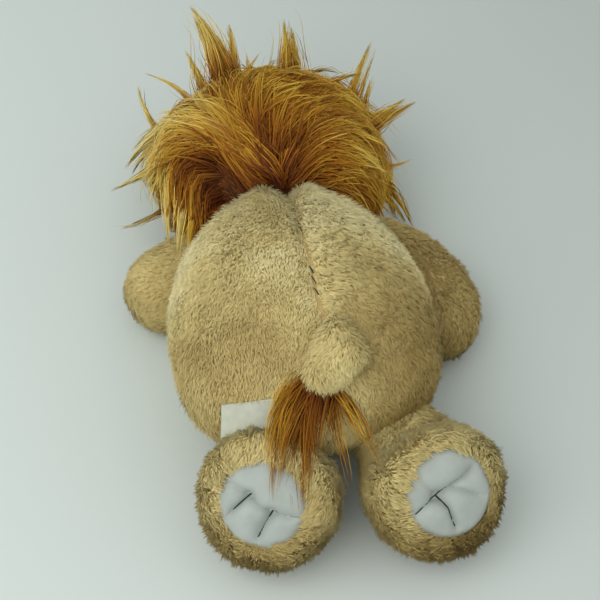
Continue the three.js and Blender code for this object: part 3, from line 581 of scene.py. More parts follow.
def torso_painted_light(points):
    """Painted light and shade: brighter at the shoulders, darker low on the right, where less light falls."""
    x, y, z = points.T
    return (0.2 + 0.28 * smooth(-80, 50, y) - 0.6 * smooth(0, 55, x) * smooth(0, -65, y)
            + 0.12 * smooth(-10, -50, x) * smooth(-30, 30, y) - 0.16 * bell(x + 6, 26) * bell(y + 2, 34)
            + 0.1 * smooth(20, 70, x) * smooth(-30, 40, y) - 0.28 * smooth(-10, -70, y) * smooth(0, -40, x)
            + 0.14 * smooth(20, 70, x) * smooth(-60, 10, y))


def torso_keep(low, high, belly):
    """A test of which points a part of the torso's pile grows from."""

    def keep(points, facing):
        x, y, z = points.T
        off_seam = (np.abs(x - SEAM_X) > 0.8 + 0.7 * smooth(5, 35, y)) | (facing[:, 2] < 0.3)
        inside = (x > low) & (x <= high) & (z > 1.5) & (y < 71)
        return inside & off_seam & ~under_label(points) & ((z > SIDE_SEAM) != belly)

    return keep


# Each part of the torso's pile: its name, from and to which x, and the size and pull of its clumps.
TORSO_PARTS = [
    ("back_left", -200, SEAM_X, 4.2, 0.4), ("back_left_fine", -200, SEAM_X, 3.0, 0.34),
    ("back_right", SEAM_X, 200, 5.6, 0.56), ("back_right_fine", SEAM_X, 200, 3.8, 0.48),
    ("belly", -200, 200, 3.5, 0.3)]
torso_piles = []
for part, low, high, clump, most in TORSO_PARTS:
    belly = part == "belly"
    sampled = torso.sample(SMALL_STRANDS if belly else TORSO_STRANDS, torso_keep(low, high, belly))
    torso_piles.append(pile("torso_pile_" + part, sampled, length=5.6, width=0.7, lay=torso_lay, clump=clump,
                            pull=lambda p, most=most: most * (1 - 0.7 * smooth(-5, 45, p[:, 1])),
                            lean=(50, 74), swirl=0.45, tone=torso_painted_light, patches=0.2))

# Arms and legs
HEEL_PUFF = {"left": 8.0, "right": 2.0}
limbs = {}
sole_centre = {}


def limb_keep(points, facing):
    return (torso_depth(points, -1.5) > 1) & (points[:, 2] > 1.2)


def limb_lay(points, facing, along):
    return along - Z[None] * 0.15


def dress_limb(name, form, lumps, pile_names, lay, **looks):
    """A limb's skin, with lumps of a size and two seeds, and its layers of pile."""
    size, coarse, fine = lumps
    form.displace(lambda p, n: 0.8 * noise(p, size, coarse) + 0.4 * noise(p, 9, fine))
    form.press()
    pieces = [form.mesh(name + "_skin", cream_cloth)]
    for pile_name in pile_names:
        sampled = form.sample(LIMB_STRANDS, limb_keep)
        pieces.append(pile(name + pile_name, sampled, lay=lay, pull=0.46, swirl=0.5, **looks))
    limbs[name] = pieces


def make_arm(side):
    lie = ARM_FRONT - 0.5
    control = [on_torso(s, lie + (SIDE_SEAM - lie) * s[2]) for s in ARM_PATH[side]]
    places = round_places(48)
    half, rise, drop = (rounded(ARM, k, places) * size
                        for k, size in ((1, ARM_WIDTH / 2), (2, ARM_BACK), (3, ARM_FRONT)))
    form = Form(*bezier_frames(control, places), half, rise, drop, control[0], control[-1], 72)
    # The right arm's darker tone is painted shade, as that arm faces away from the lamp.
    dress_limb("arm_" + side, form, (20, 4, 6), ["_pile"], limb_lay, length=5.8, width=0.7, clump=4.4,
               lean=(42, 68), tone={"left": 0.02, "right": -0.24}[side])


def make_leg(side):
    hip, sole = LEG_PATH[side]
    aim = unit(SOLE_AIM[side])
    start, end = on_torso(hip, HIP_LIFT[side]), on_torso(sole, SOLE_LIFT)
    turn = end - aim * FOOT_REACH
    knee = np.array([(start[0] + turn[0]) / 2, (start[1] + turn[1]) / 2, turn[2]])
    sole_centre[side] = end
    towards_sole = np.sin(np.linspace(0, np.pi / 2, 21)[1:])
    places = np.concatenate([np.linspace(0.02, 0.78, 34), 0.78 + 0.22 * towards_sole])
    stops = [row[0] for row in LEG] + [1.0]
    half, rise, drop = (pchip(stops, [row[k] * size for row in LEG] + [SOLE_RADIUS], places)
                        for k, size in ((1, LEG_WIDTH / 2), (2, FOOT_HEEL), (3, FOOT_TOE)))
    rise = rise + HEEL_PUFF[side] * smooth(0.45, 0.75, places) * smooth(1.0, 0.86, places)
    form = Form(*bezier_frames([start, knee, turn, end], places), half, rise, drop, start, end, 88)

    def behind_rim(points):
        return -((points - end) @ aim)

    def foot_lay(points, facing, along):
        """Along the leg, and inwards over the sole's rim."""
        out = unit(points - end - aim * ((points - end) @ aim)[:, None])
        rim = smooth(14, 2, behind_rim(points))[:, None]
        return limb_lay(points, facing, along) + rim * (aim[None] * 0.5 - out * 0.5)

    # Painted shade: each leg's pile darkens towards the floor, more on the right leg.
    low_shade = {"left": 0.42, "right": 0.66}[side]
    dress_limb("leg_" + side, form, (22, 8, 9), ["_pile_1", "_pile_2"], foot_lay, length=6.4, width=0.75,
               clump=4.8, lean=(38, 64), tone=lambda p: 0.18 - low_shade * smooth(70, 16, p[:, 2]),
               grow=lambda p: 1 + 0.45 * smooth(12, 2, behind_rim(p)))


for side in SIDES:
    make_arm(side)
for side in SIDES:
    make_leg(side)

# Soles, in millimetres from their centre: the drawn-in lines, how deep each is, and the threads on them.
GROOVES = {
    "left": [((8.6, -4.2), (17.3, 7.9), (21, 15)), ((-6.7, 2.8), (-3.6, 12), (-1.3, 22)),
             ((-6.7, 2.8), (-18, 2.5), (-31, -1)), ((8.6, -4.2), (0, 1), (-6.7, 2.8)),
             ((8.6, -4.2), (20, -8.5), (30, -9))],
    "right": [((27, 4), (17, 1.5), (7.8, -1.8)), ((7.8, -1.8), (0.1, -5), (-11.6, -8.1), (-20, -12)),
              ((7.8, -1.8), (2.4, 8.1), (1.0, 21.5)), ((-4.8, -3.6), (-12, 2), (-22, 9)),
              ((7.8, -1.8), (13.2, -11.7), (15, -17))]}
GROOVE_DEPTHS = {"left": (6.6, 7.2, 4.6, 5.0, 4.2), "right": (5.0, 6.4, 7.4, 4.8, 3.0)}
STITCHES = {
    "left": [(((8.6, -4.2), (13.2, 1.6), (17.3, 7.9)), thread, 0.55),
             (((-6.7, 2.8), (-3.6, 12), (-1.3, 20.6)), thread, 0.55),
             (((-6.7, 2.8), (-18, 2.5), (-30, -0.6)), grey_thread, 0.3)],
    "right": [(((7.8, -1.8), (2.6, 8.1), (1.0, 20.7)), thread, 0.55),
              (((24, 4), (17, 1.5), (7.8, -1.8), (0.1, -5)), thread, 0.38)]}


def line_distance(points, line):
    line = np.array(line, float)
    best = np.full(len(points), 1e9)
    for a, b in zip(line[:-1], line[1:]):
        t = np.clip(((points - a) @ (b - a)) / ((b - a) @ (b - a)), 0, 1)[:, None]
        best = np.minimum(best, np.linalg.norm(points - a - t * (b - a), axis=1))
    return best


def sole_place(points, side, lift=0.0):
    """Points on a sole's puffed face, from places on its plane."""
    points = np.asarray(points, float)
    radius = np.linalg.norm(points, axis=1) / (SOLE_RADIUS - 0.5)
    height = 9.4 * np.sqrt(np.clip(1 - radius ** 2 * 0.97, 0, 1)) + 0.6
    for line, depth in zip(GROOVES[side], GROOVE_DEPTHS[side]):
        height -= depth * np.exp(-line_distance(points, line) / 2.6) * smooth(1.05, 0.55, radius)
    height = np.maximum(height, 0.8) + lift
    aim = unit(SOLE_AIM[side])
    toes = unit(-Z + aim * aim[2])
    across = np.cross(toes, aim)
    return sole_centre[side] + points[:, :1] * across + points[:, 1:] * toes + height[:, None] * aim


def make_sole(side, rings=30, sides=112):
    """The patch and its threads."""
    turn = 2 * math.pi * np.arange(sides) / sides
    out = (np.arange(rings) + 1) / rings * SOLE_RADIUS
    plane = np.stack([out[:, None] * np.cos(turn), out[:, None] * np.sin(turn)], -1).reshape(-1, 2)
    middle = sole_centre[side]
    top = sole_place(plane, side)
    aim = unit(SOLE_AIM[side])
    rim = top[-sides:] - middle
    under = middle + rim - aim * (rim @ aim)[:, None]
    points = np.concatenate([sole_place([(0, 0)], side), top, under, [middle]])
    pieces = [mesh_object("sole_%s_patch" % side, points, grid_faces(rings + 1, sides), satin)]
    for k, (line, finish, radius) in enumerate(STITCHES[side]):
        path = sole_place(resample(line, 14), side, radius * 0.6)
        pieces.append(tube("sole_%s_thread_%d" % (side, k + 1), path, radius, finish))
    return pieces


soles = {side: make_sole(side) for side in SIDES}

# Stage, light and camera
AZIMUTH, ELEVATION, DISTANCE, FOCAL = math.radians(-11), math.radians(52), 0.9, 77.22
TARGET = Vector((0.0055, 0.0, 0.05))
FLOOR_LIGHT_FALLOFF = [(0, 182, 190, 187), (0.5, 199, 208, 205), (1, 208, 219, 216)]
FLOOR_PROFILE = [(-2600, 0), (-1000, 0), (1000, 0), (1900, 0), (2300, 120), (2600, 500), (2700, 2400)]
FLOOR_HALF, FLOOR_SINK = 3000, 0.4

camera = bpy.data.objects.new("camera", bpy.data.cameras.new("camera"))
camera.data.lens = FOCAL
camera.data.sensor_width = 36
camera.data.clip_start = 0.02
back = Vector((math.sin(AZIMUTH) * math.cos(ELEVATION), -math.cos(AZIMUTH) * math.cos(ELEVATION),
               math.sin(ELEVATION)))
camera.location = TARGET + back * DISTANCE
camera.rotation_euler = back.to_track_quat("Z", "Y").to_euler()
bpy.context.scene.collection.objects.link(camera)
bpy.context.scene.camera = camera

lamp = bpy.data.lights.new("key", "AREA")
lamp.shape = "DISK"
lamp.size = 1.7
lamp.energy = 12.0
lamp.color = (1.0, 0.985, 0.955)
key = bpy.data.objects.new("key", lamp)
key.location = (-0.9, -0.55, 1.3)
key.rotation_euler = (key.location - Vector((0, 0, 0.05))).to_track_quat("Z", "Y").to_euler()
bpy.context.scene.collection.objects.link(key)

world = bpy.data.worlds.new("studio")
bpy.context.scene.world = world
world.use_nodes = True
world.node_tree.nodes["Background"].inputs["Color"].default_value = (0.97, 0.98, 0.96, 1)
world.node_tree.nodes["Background"].inputs["Strength"].default_value = 0.8

# The paper is lighter on the left, as in the photo.
# Painted light: this ramp paints the falloff of light across the paper, lighter on the left and front, darker
# to the right and back.
sweep, sweep_tree, sweep_shader = new_material("sweep_paper", roughness=0.85, specular=0.2)
sweep_place = sweep_tree.nodes.new("ShaderNodeTexCoord").outputs["Object"]
across_floor = sweep_tree.nodes.new("ShaderNodeVectorMath")
across_floor.operation = "DOT_PRODUCT"
across_floor.inputs[1].default_value = (-1.25, -0.3, 0)
sweep_tree.links.new(sweep_place, across_floor.inputs[0])
shifted = sweep_tree.nodes.new("ShaderNodeMath")
shifted.operation = "ADD"
shifted.inputs[1].default_value = 0.5
sweep_tree.links.new(across_floor.outputs["Value"], shifted.inputs[0])
painted_floor_falloff = ramp(sweep_tree, FLOOR_LIGHT_FALLOFF, shifted.outputs["Value"])
sweep_tree.links.new(painted_floor_falloff, sweep_shader.inputs["Base Color"])
floor_points = [(x, y, z - FLOOR_SINK) for y, z in FLOOR_PROFILE for x in (-FLOOR_HALF, FLOOR_HALF)]
floor_faces = [(2 * k, 2 * k + 1, 2 * k + 3, 2 * k + 2) for k in range(len(FLOOR_PROFILE) - 1)]
floor = mesh_object("sweep", floor_points, floor_faces, sweep)
bpy.context.scene.view_settings.view_transform = "Standard"

# Head and face
head = straight_form(HEAD, HEAD_LENGTH, HEAD_START, HEAD_OFFSET, HEAD_LIE, HEAD_WIDTH / 2, HEAD_BACK,
                     HEAD_FACE, 56, 96)
head.displace(lambda p, n: 0.6 * noise(p, 24, 21))
head.press()
head_skin = head.mesh("head_skin", cream_cloth)
head_skin.data.materials.append(rust_cloth_and_shade)
for polygon in head_skin.data.polygons:
    polygon.material_index = int(polygon.center.z > HEAD_SEAM * MM)


def face_keep(points, facing):
    return (points[:, 2] < HEAD_SEAM + 6) & (points[:, 2] > 1) & (torso_depth(points, 1) > 1)


def face_lay(points, facing, along):
    return Y[None] * 0.9 - Z[None] * 0.2 + X[None] * (0.012 * (points[:, 0] - HEAD_OFFSET))[:, None]


def muzzle_parting(points, facing):
    return -2.2 * bell(points[:, 0] - HEAD_OFFSET, 3) * smooth(8, 0, points[:, 2] * 0.5)


def muzzle_keep(points, facing):
    return (points[:, 2] > 0.8) & (points[:, 2] < 26)


def muzzle_lay(points, facing, along):
    return unit(points - muzzle_middle) * [1, 0.4, 1] - Y[None] * 0.4


face_pile = pile("face_pile", head.sample(SMALL_STRANDS, face_keep), length=5.0, width=0.9, lay=face_lay,
                 pull=0.35, tone=0.06)
muzzle_middle = np.array([HEAD_OFFSET, HEAD_MIDDLE - HEAD_LENGTH / 12, MUZZLE[2] - 0.5])
muzzle_form, muzzle = ball("muzzle_skin", muzzle_middle, (MUZZLE[0] / 2, MUZZLE[1] / 2, MUZZLE[2]),
                           cream_cloth, shape=muzzle_parting)
muzzle_pile = pile("muzzle_pile", muzzle_form.sample(MUZZLE_STRANDS, muzzle_keep), length=4.0, width=0.85,
                   lay=muzzle_lay, pull=0.3, tone=0.16)
nose_place = (muzzle_middle[0], muzzle_middle[1] + MUZZLE[1] * 0.36, 6 + MUZZLE[2] * 0.12)
nose = ball("nose_button", nose_place, (9.5, 6.5, 6), black)[1]
eyes = {}
for side, sign in zip(SIDES, (-1, 1)):
    low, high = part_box("eye_" + side)
    middle = (np.array(low) + np.array(high)) / 2 / MM
    outward = unit((sign * 0.15, 0.52, -0.84))
    eyes[side] = ball("eye_%s_button" % side, middle + outward, (6.2, 5.2, 5.6), black)[1]

# Ears
ears = {}
for joint in frame["joints"]:
    if not joint["name"].startswith("ear_"):
        continue
    side = joint["name"].split("_")[1]
    place = np.array(joint["pos_m"]) / MM
    out = unit(np.cross(unit(joint["axis"]), Z))
    if out @ (place - [HEAD_OFFSET, HEAD_MIDDLE, place[2]]) < 0:
        out = -out
    start = place - out * EAR_THICKNESS
    tip = place + out * EAR_LENGTH - Z * EAR_LENGTH / 4
    s = round_places(26)
    tangent = unit(tip - start)
    across = unit(np.cross(Z, tangent))
    wide, thick = (pchip([row[0] for row in EAR], [row[k] for row in EAR], s) * size / 2
                   for k, size in ((1, EAR_WIDTH), (2, EAR_THICKNESS)))
    ear = Form(start + (tip - start) * s[:, None], across[None], np.cross(tangent, across)[None], wide, thick,
               thick, start, tip, 48)
    skin = ear.mesh("ear_%s_skin" % side, cream_cloth)
    hair = pile("ear_%s_pile" % side, ear.sample(EAR_STRANDS), length=4.5, width=0.85,
                lay=lambda p, n, a, way=tangent: np.tile(way, (len(p), 1)), pull=0.35, tone=0.05)
    ears[side] = (skin, hair)

# Tail stub
TAIL_LIFT = 5.8
tail_line = []
for share in TAIL_PATH:
    place, normal = seat(on_torso(share, 300), -Z)
    tail_line.append(place + normal * TAIL_LIFT)
route = resample(tail_line, 30)
tangent = unit(np.gradient(route, axis=0))
across = unit(np.cross(Z, tangent))
s = np.linspace(0, 1, 30)
wide = pchip([0, 0.2, 0.5, 0.78, 0.94, 1], [4.5, 9.5, 15.5, 17.5, 12, 4], s)
thick = pchip([0, 0.25, 0.8, 0.97, 1], [4, 7.5, 7.5, 4.4, 1], s)
tail = Form(route, across, np.cross(tangent, across), wide, thick, thick, route[0] - tangent[0],
            route[-1] + tangent[-1], 56)
aside = ((tail.grid - route[:, None]) * across[:, None]).sum(-1, keepdims=True)
tail.grid -= aside * smooth(0.3, 1, s)[:, None, None] * 0.62 * tangent[:, None]
tail.displace(lambda p, n: 0.6 * noise(p, 14, 31))
tail_skin = tail.mesh("tail_skin", cream_cloth)
tail_pile = pile("tail_pile", tail.sample(SMALL_STRANDS), length=6.5, width=0.75,
                 lay=lambda p, n, a: a + 0.15 * unit(p - route.mean(0)), clump=3.8, pull=0.42, tone=0.2)

# Mane: long hair round guides that are combed over a cap
MANE_CENTRE, MANE_RADII = np.array([6.0, 125, 51]), np.array([79.0, 68, 62])
# The hollow is a gap in the hair that is also painted darker as shade; the pocket only marks where hair is
# painted darker as shade.
HOLLOW_CENTRE, HOLLOW_RADII = np.array([-37.0, 92, 78]), np.array([12.0, 22, 34])
SHADE_POCKET_CENTRE, SHADE_POCKET_RADII = np.array([46.0, 76, 72]), np.array([18.0, 10, 20])
CROWN = np.array([0.0, 86, 100])
# How the mane is combed: each stroke runs over the places of its line.
COMB = [
    [(-1, 91, 104), (9, 103, 109), (22, 117, 111), (43, 124, 104)], [(0, 112, 112), (14, 122, 112)],
    [(5, 142, 111), (23, 149, 107)],
    [(35, 157, 99), (55, 158, 87), (72, 146, 80), (86, 126, 66), (93, 108, 54), (94, 93, 43), (94, 78, 33)],
    [(10, 80, 97), (23, 90, 102), (41, 93, 97), (59, 90, 79), (77, 101, 45), (80, 82, 33)],
    [(9, 93, 105), (30, 107, 107), (54, 116, 97), (80, 124, 63), (88, 102, 49)], [(29, 78, 90), (44, 79, 82)],
    [(49, 77, 76), (63, 82, 44)], [(-14, 135, 111), (3, 176, 97)], [(-28, 139, 106), (-26, 176, 95)],
    [(-12, 114, 111), (-15, 136, 110)], [(-9, 94, 105), (-20, 115, 109)],
    [(-21, 117, 109), (-38, 137, 101), (-53, 162, 80)], [(-51, 161, 80), (-69, 158, 77)],
    [(-33, 171, 89), (-41, 180, 98)], [(-17, 87, 99), (-34, 108, 102)], [(-35, 110, 102), (-46, 122, 98)],
    [(-47, 115, 96), (-62, 129, 81), (-73, 134, 57)], [(-74, 133, 55), (-80, 113, 41)],
    [(-54, 110, 88), (-63, 103, 73), (-67, 104, 33)], [(-49, 102, 90), (-56, 89, 70)],
    [(-68, 153, 73), (-81, 146, 67)], [(-20, 82, 94), (-32, 98, 100)], [(3, 78, 96), (-10, 84, 99)],
    [(0, 83, 99), (-4, 95, 106)], [(-16, 159, 102), (-9, 179, 99)], [(31, 170, 95), (39, 173, 99)],
    [(8, 159, 104), (14, 178, 101)], [(0, 190, 80), (0, 196, 50)], [(-50, 175, 50), (-58, 186, 30)],
    [(60, 172, 50), (68, 184, 30)], [(0, 194, 40), (0, 204, 24)], [(-76, 150, 40), (-88, 152, 22)],
    [(86, 140, 40), (96, 146, 24)]]
# Locks that stand clear of the mass: root, bend, tip, hairs and how far they spread at the root.
LOCKS = [
    ((-17, 178, 96), (-16, 210, 112), (-34, 261, 107), 150, 6.0),
    ((-19, 183, 96), (-25, 205, 110), (-32, 250, 107), 70, 3.6),
    ((-10, 183, 94), (-6, 208, 102), (-5, 243, 100), 45, 3.4),
    ((29, 171, 92), (35, 200, 100), (40, 246, 96), 90, 4.6),
    ((34, 172, 90), (41, 196, 98), (43, 236, 96), 60, 3.6),
    ((68, 146, 84), (80, 168, 90), (108, 221, 84), 55, 2.4),
    ((74, 147, 80), (87, 169, 86), (111, 218, 80), 12, 2.4),
    ((51, 156, 88), (63, 178, 94), (93, 178, 88), 26, 1.6),
    ((38, 174, 90), (60, 193, 96), (73, 178, 88), 10, 1.4),
    ((81, 143, 78), (88, 159, 80), (101, 189, 74), 16, 2.2),
    ((78, 128, 76), (99, 144, 72), (132, 168, 62), 80, 3.6),
    ((79, 132, 76), (100, 148, 74), (123, 169, 66), 40, 2.6),
    ((-31, 176, 84), (-34, 199, 88), (-40, 240, 80), 64, 3.0),
    ((-41, 175, 78), (-49, 202, 80), (-75, 236, 66), 18, 1.4),
    ((-32, 183, 84), (-36, 204, 90), (-35, 225, 84), 16, 2.0),
    ((-65, 166, 56), (-81, 191, 56), (-81, 248, 46), 30, 2.0),
    ((-42, 169, 76), (-59, 183, 74), (-72, 193, 62), 16, 1.6),
    ((-46, 165, 74), (-70, 185, 66), (-96, 178, 40), 40, 2.6),
    ((-51, 162, 70), (-77, 183, 56), (-103, 168, 30), 46, 3.2),
    ((-56, 158, 66), (-82, 179, 46), (-98, 166, 24), 40, 3.0),
    ((-65, 148, 56), (-90, 155, 34), (-118, 158, 18), 30, 2.4),
    ((-72, 114, 40), (-92, 112, 26), (-113, 120, 18), 10, 1.6),
    ((81, 105, 60), (99, 110, 52), (120, 123, 44), 10, 1.4),
    ((86, 97, 50), (104, 92, 38), (108, 72, 22), 28, 2.2),
    ((82, 94, 48), (98, 85, 36), (102, 75, 24), 22, 2.4),
    ((-9, 170, 94), (1, 186, 98), (18, 213, 94), 22, 2.4),
    ((-3, 169, 94), (13, 188, 98), (29, 201, 94), 16, 2.0),
    ((0, 170, 94), (5, 187, 98), (4, 210, 96), 12, 2.0),
    ((-42, 134, 78), (-56, 124, 72), (-74, 51, 56), 150, 4.8),
    ((-35, 131, 80), (-47, 116, 72), (-67, 52, 58), 110, 3.6),
    ((-49, 140, 76), (-75, 148, 58), (-78, 63, 50), 130, 4.6),
    ((-40, 130, 76), (-52, 105, 66), (-70, 28, 58), 50, 2.0),
    ((-55, 145, 70), (-80, 157, 44), (-81, 111, 28), 70, 3.6),
    ((-47, 133, 76), (-67, 130, 56), (-78, 95, 34), 60, 3.4),
    ((76, 104, 60), (91, 98, 46), (95, 75, 30), 60, 3.6),
    ((68, 102, 62), (80, 92, 50), (85, 73, 34), 60, 3.4)]
strokes = np.array([pair for line in COMB for pair in zip(line, line[1:])], float)
comb_middle, comb_way = strokes.mean(1), unit(strokes[:, 1] - strokes[:, 0])


def cap_radii(p):
    return np.where(p[:, 2:] > MANE_CENTRE[2], MANE_RADII, MANE_RADII * [1, 1, 0.5])


def cap_share(p):
    return np.linalg.norm((p - MANE_CENTRE) / cap_radii(p), axis=1)


def cap_normal(p):
    return unit((p - MANE_CENTRE) / cap_radii(p) ** 2)


def mane_flow(p):
    """Which way the mane is combed at points: the nearby strokes, each weighed by its distance."""
    apart = ((p[:, None] - comb_middle[None]) ** 2).sum(-1)
    return unit((((apart + 90) ** -1.8)[..., None] * comb_way[None]).sum(1))


def mane_guides(count, reach=1.0, lie=1.0, near=None, above=0.0):
    """Paths of combed hair over the cap, and how far out each lies. near keeps those that start so close to
    the crown, and only guides of full reach stay clear of the low left side."""
    full = reach == 1
    turn = 2 * math.pi * rng.random(count)
    tall = 0.03 + 0.95 * rng.random(count) ** 0.85
    ring = np.sqrt(1 - tall ** 2)
    root = MANE_CENTRE + np.stack([np.cos(turn) * ring, np.sin(turn) * ring, tall], 1) * MANE_RADII * 0.84
    low_left = (root[:, 0] < -46) & (root[:, 1] < 116) & full
    front = (root[:, 1] < 92) | (rng.random(count) < 0.55)
    ok = (torso_depth(root, 4) > 1) & (root[:, 1] > 56) & ~low_left & front
    if near:
        ok &= np.linalg.norm(root - CROWN, axis=1) < near
    root = root[ok]
    count = len(root)
    length = reach * (56 + 34 * rng.random(count)) * (1 + 0.12 * noise(root, 30, 41))
    length = length * (0.7 + 0.3 * smooth(70, 100, root[:, 1]))
    heading = rng.standard_normal(count) * 0.16 + 0.2 * noise(root, 26, 43)
    curl = rng.standard_normal(count) * 0.05 + 0.05 * noise(root, 40, 44)
    target = 0.84 + above + 0.22 * lie * rng.random(count)
    path = [root]
    p = root
    for k in range(1, HAIR_POINTS):
        heading = heading + curl
        c, s = np.cos(heading)[:, None], np.sin(heading)[:, None]
        normal = cap_normal(p)
        flow = mane_flow(p)
        flow = unit(flow - normal * (flow * normal).sum(1, keepdims=True))
        flow = flow * c + np.cross(normal, flow) * s
        rim = smooth(0.45, 0.1, normal[:, 2])[:, None]
        lift = np.interp(k, [1, 2, 4, 7], [0.9, 0.35, 0.05, 0.0])
        outward = unit(normal * [1, 1, 0])
        step = unit(flow + normal * lift + rim * (outward * 0.25 - Z * 0.35))
        p = p + step * (length / (HAIR_POINTS - 1))[:, None]
        swell = 0.085 * smooth(120, 165, p[:, 1])
        pull = np.clip((target + swell + 0.02 * k * rim[:, 0]) / cap_share(p), 0.92, 1.06)
        p = MANE_CENTRE + (p - MANE_CENTRE) * pull[:, None]
        p[:, 2] = np.clip(p[:, 2], 2.0, 126)
        path.append(p)
    guides = np.stack(path, 1)
    low_left = (guides[..., 0] < -62) & (guides[..., 1] < 118) & full
    clear = np.linalg.norm((guides - HOLLOW_CENTRE) / HOLLOW_RADII, axis=-1)[:, 1:].min(1) > 1
    clear = (clear | (reach < 1)) & ~low_left.any(1)
    return guides[clear], ((target - 0.94) / 0.1)[clear]


def lock_curves(locks):
    """The guide of each lock of a table, through its root and tip and towards its bend."""
    a, b, c = (np.array([lock[k] for lock in locks], float)[:, None] for k in range(3))
    t = np.linspace(0, 1, HAIR_POINTS)[:, None]
    return (1 - t) ** 2 * a + 2 * (1 - t) * t * b + t * t * c


def hair_bundle(guides, counts, spread, gather, wave, shortest=0.74, tone=(0.13, 0.07), bulge=0.3):
    """Hairs round guides: apart at the root, drawn together towards the tip. Gives their paths, their tones
    and which way each faces from its lock's middle."""
    paths, tones, sides = [], [], []
    run = np.linspace(0, 1, HAIR_POINTS)
    spreads = np.broadcast_to(spread, len(guides))
    for guide, count, wide in zip(guides, counts, spreads):
        offset = np.clip(rng.standard_normal((count, 3)), -2, 2) * wide
        shape = (1 - run) * (1 - gather) + gather + bulge * np.sin(np.pi * run)
        length = shortest + (1 - shortest) * rng.random(count) ** 0.7
        at = run[None] * length[:, None] * (HAIR_POINTS - 1)
        i = np.minimum(at.astype(int), HAIR_POINTS - 2)
        f = (at - i)[..., None]
        base = guide[i] * (1 - f) + guide[i + 1] * f
        phase = rng.random() * 6.3
        waves = run[None] * (3.6 + 1.5 * rng.random((count, 1))) + phase
        waves = waves + 0.5 * rng.standard_normal((count, 1))
        aside = unit(rng.standard_normal(3) + rng.standard_normal((count, 3)) * 0.4)
        paths.append(base + offset[:, None] * shape[None, :, None]
                     + aside[:, None] * (np.sin(waves) * wave * run[None])[..., None])
        tones.append(rng.standard_normal() * tone[0] + rng.standard_normal(count) * tone[1])
        sides.append(offset / wide)
    return np.concatenate(paths), np.concatenate(tones), np.concatenate(sides)


def hair_mesh(name, paths, tones, width, facing):
    count, steps = paths.shape[:2]
    taper = np.interp(np.linspace(0, 1, steps), [0, 0.3, 0.8, 1], [1.0, 1.0, 0.6, 0.0])
    widths = width * taper[None] * (0.7 + 0.6 * rng.random((count, 1)))
    return strand_mesh(name, paths, widths, 0.6, facing, np.clip(tones, 0.02, 0.98), rust_hair, 0.7)


bundles = []


def add_bundle(lift, *bundle, **shape):
    """Adds hairs to the mane, with their tones lifted."""
    paths, tones, sides = hair_bundle(*bundle, **shape)
    bundles.append((paths, tones + lift, sides))


# The mass of the mane, then arcs that rise from the crown.
guides, outside = mane_guides(MASS_GUIDES)
counts = rng.integers(44, 70, len(guides))
add_bundle(0.08 * np.repeat(outside, counts), guides, counts, spread=4.6, gather=0.06, wave=1.6,
           tone=(0.12, 0.08))
arcs = mane_guides(ARC_GUIDES, reach=1.3, lie=0.25, near=52, above=0.2)[0]
add_bundle(0.03, arcs, rng.integers(10, 34, len(arcs)), spread=2.6, gather=0.1, wave=2.0, tone=(0.14, 0.08))
# The locks, and loose hairs round them.
locks = lock_curves(LOCKS)
lock_counts = [int(lock[3] * 1.5) for lock in LOCKS]
lock_spreads = [lock[4] for lock in LOCKS]
add_bundle(0.06, locks, lock_counts, lock_spreads, gather=0.05, wave=2.0, shortest=0.5, tone=(0.05, 0.08),
           bulge=0.0)
loose_counts = np.repeat(np.maximum(np.array(lock_counts) // 12, 2), 2)
add_bundle(0.14, np.repeat(locks, 2, 0), loose_counts, 2.0 * np.repeat(lock_spreads, 2), gather=0.5,
           wave=4.0, shortest=0.4, bulge=0.0)
# Strays: some from anywhere, more from the rim, where they reach further.
ANYWHERE, AT_RIM = 150, 220
low = np.nonzero(cap_normal(guides[:, -1])[:, 2] < 0.62)[0]
stray = np.concatenate([rng.permutation(len(guides))[:ANYWHERE], rng.permutation(low)[:AT_RIM]])
strays = guides[stray].copy()
outward = cap_normal(strays[:, -1]) * [1, 1, 0.5]
lifted = unit(outward + 0.45 * rng.standard_normal((len(stray), 3)) * [1, 1, 0.4])
anywhere = np.arange(len(stray)) < ANYWHERE
reach = np.where(anywhere, 4, 9) + 15 * rng.random(len(stray))
along = np.linspace(0, 1, HAIR_POINTS)[None, :, None]
strays += lifted[:, None] * along ** 1.8 * reach[:, None, None]
add_bundle(0.14, strays, np.where(anywhere, 3, rng.integers(4, 12, len(stray))), spread=1.8, gather=0.2,
           wave=2.4, shortest=0.6)
# Single airy hairs at the left and at the crown end.
rim = np.nonzero((guides[:, -1, 0] < -42) | (guides[:, -1, 1] > 172))[0]
rim = rng.permutation(np.tile(rim, 3))[:AIRY_GUIDES]
airy = guides[rim].copy()
way = unit((airy[:, -1] - MANE_CENTRE) * [1, 1, 0.2] + 22 * rng.standard_normal((len(rim), 3)) * [1, 1, 0.5])
airy += way[:, None] * along ** 2.2 * (5 + 17 * rng.random(len(rim)))[:, None, None]
add_bundle(0.22, airy, rng.integers(1, 5, len(rim)), spread=2.6, gather=0.4, wave=3.4, shortest=0.7)
# Short undercoat, which closes the cap under the long hair.
undercoat = mane_guides(UNDERCOAT_GUIDES, reach=0.24, lie=0.2)[0]
add_bundle(-0.2, undercoat, np.full(len(undercoat), 3), spread=1.8, gather=0.3, wave=1.0)

paths, tones, sides = (np.concatenate(part) for part in zip(*bundles))
root, middle, end = paths[:, 0], paths[:, 4], paths[:, -1]
to_crown = np.linalg.norm((middle + root) / 2 - CROWN, axis=1)
in_hollow = np.linalg.norm((paths - HOLLOW_CENTRE) / (HOLLOW_RADII + 9), axis=-1).min(1)
in_shade_pocket = np.linalg.norm((paths[:, 1:5] - SHADE_POCKET_CENTRE) / SHADE_POCKET_RADII, axis=-1).min(1)
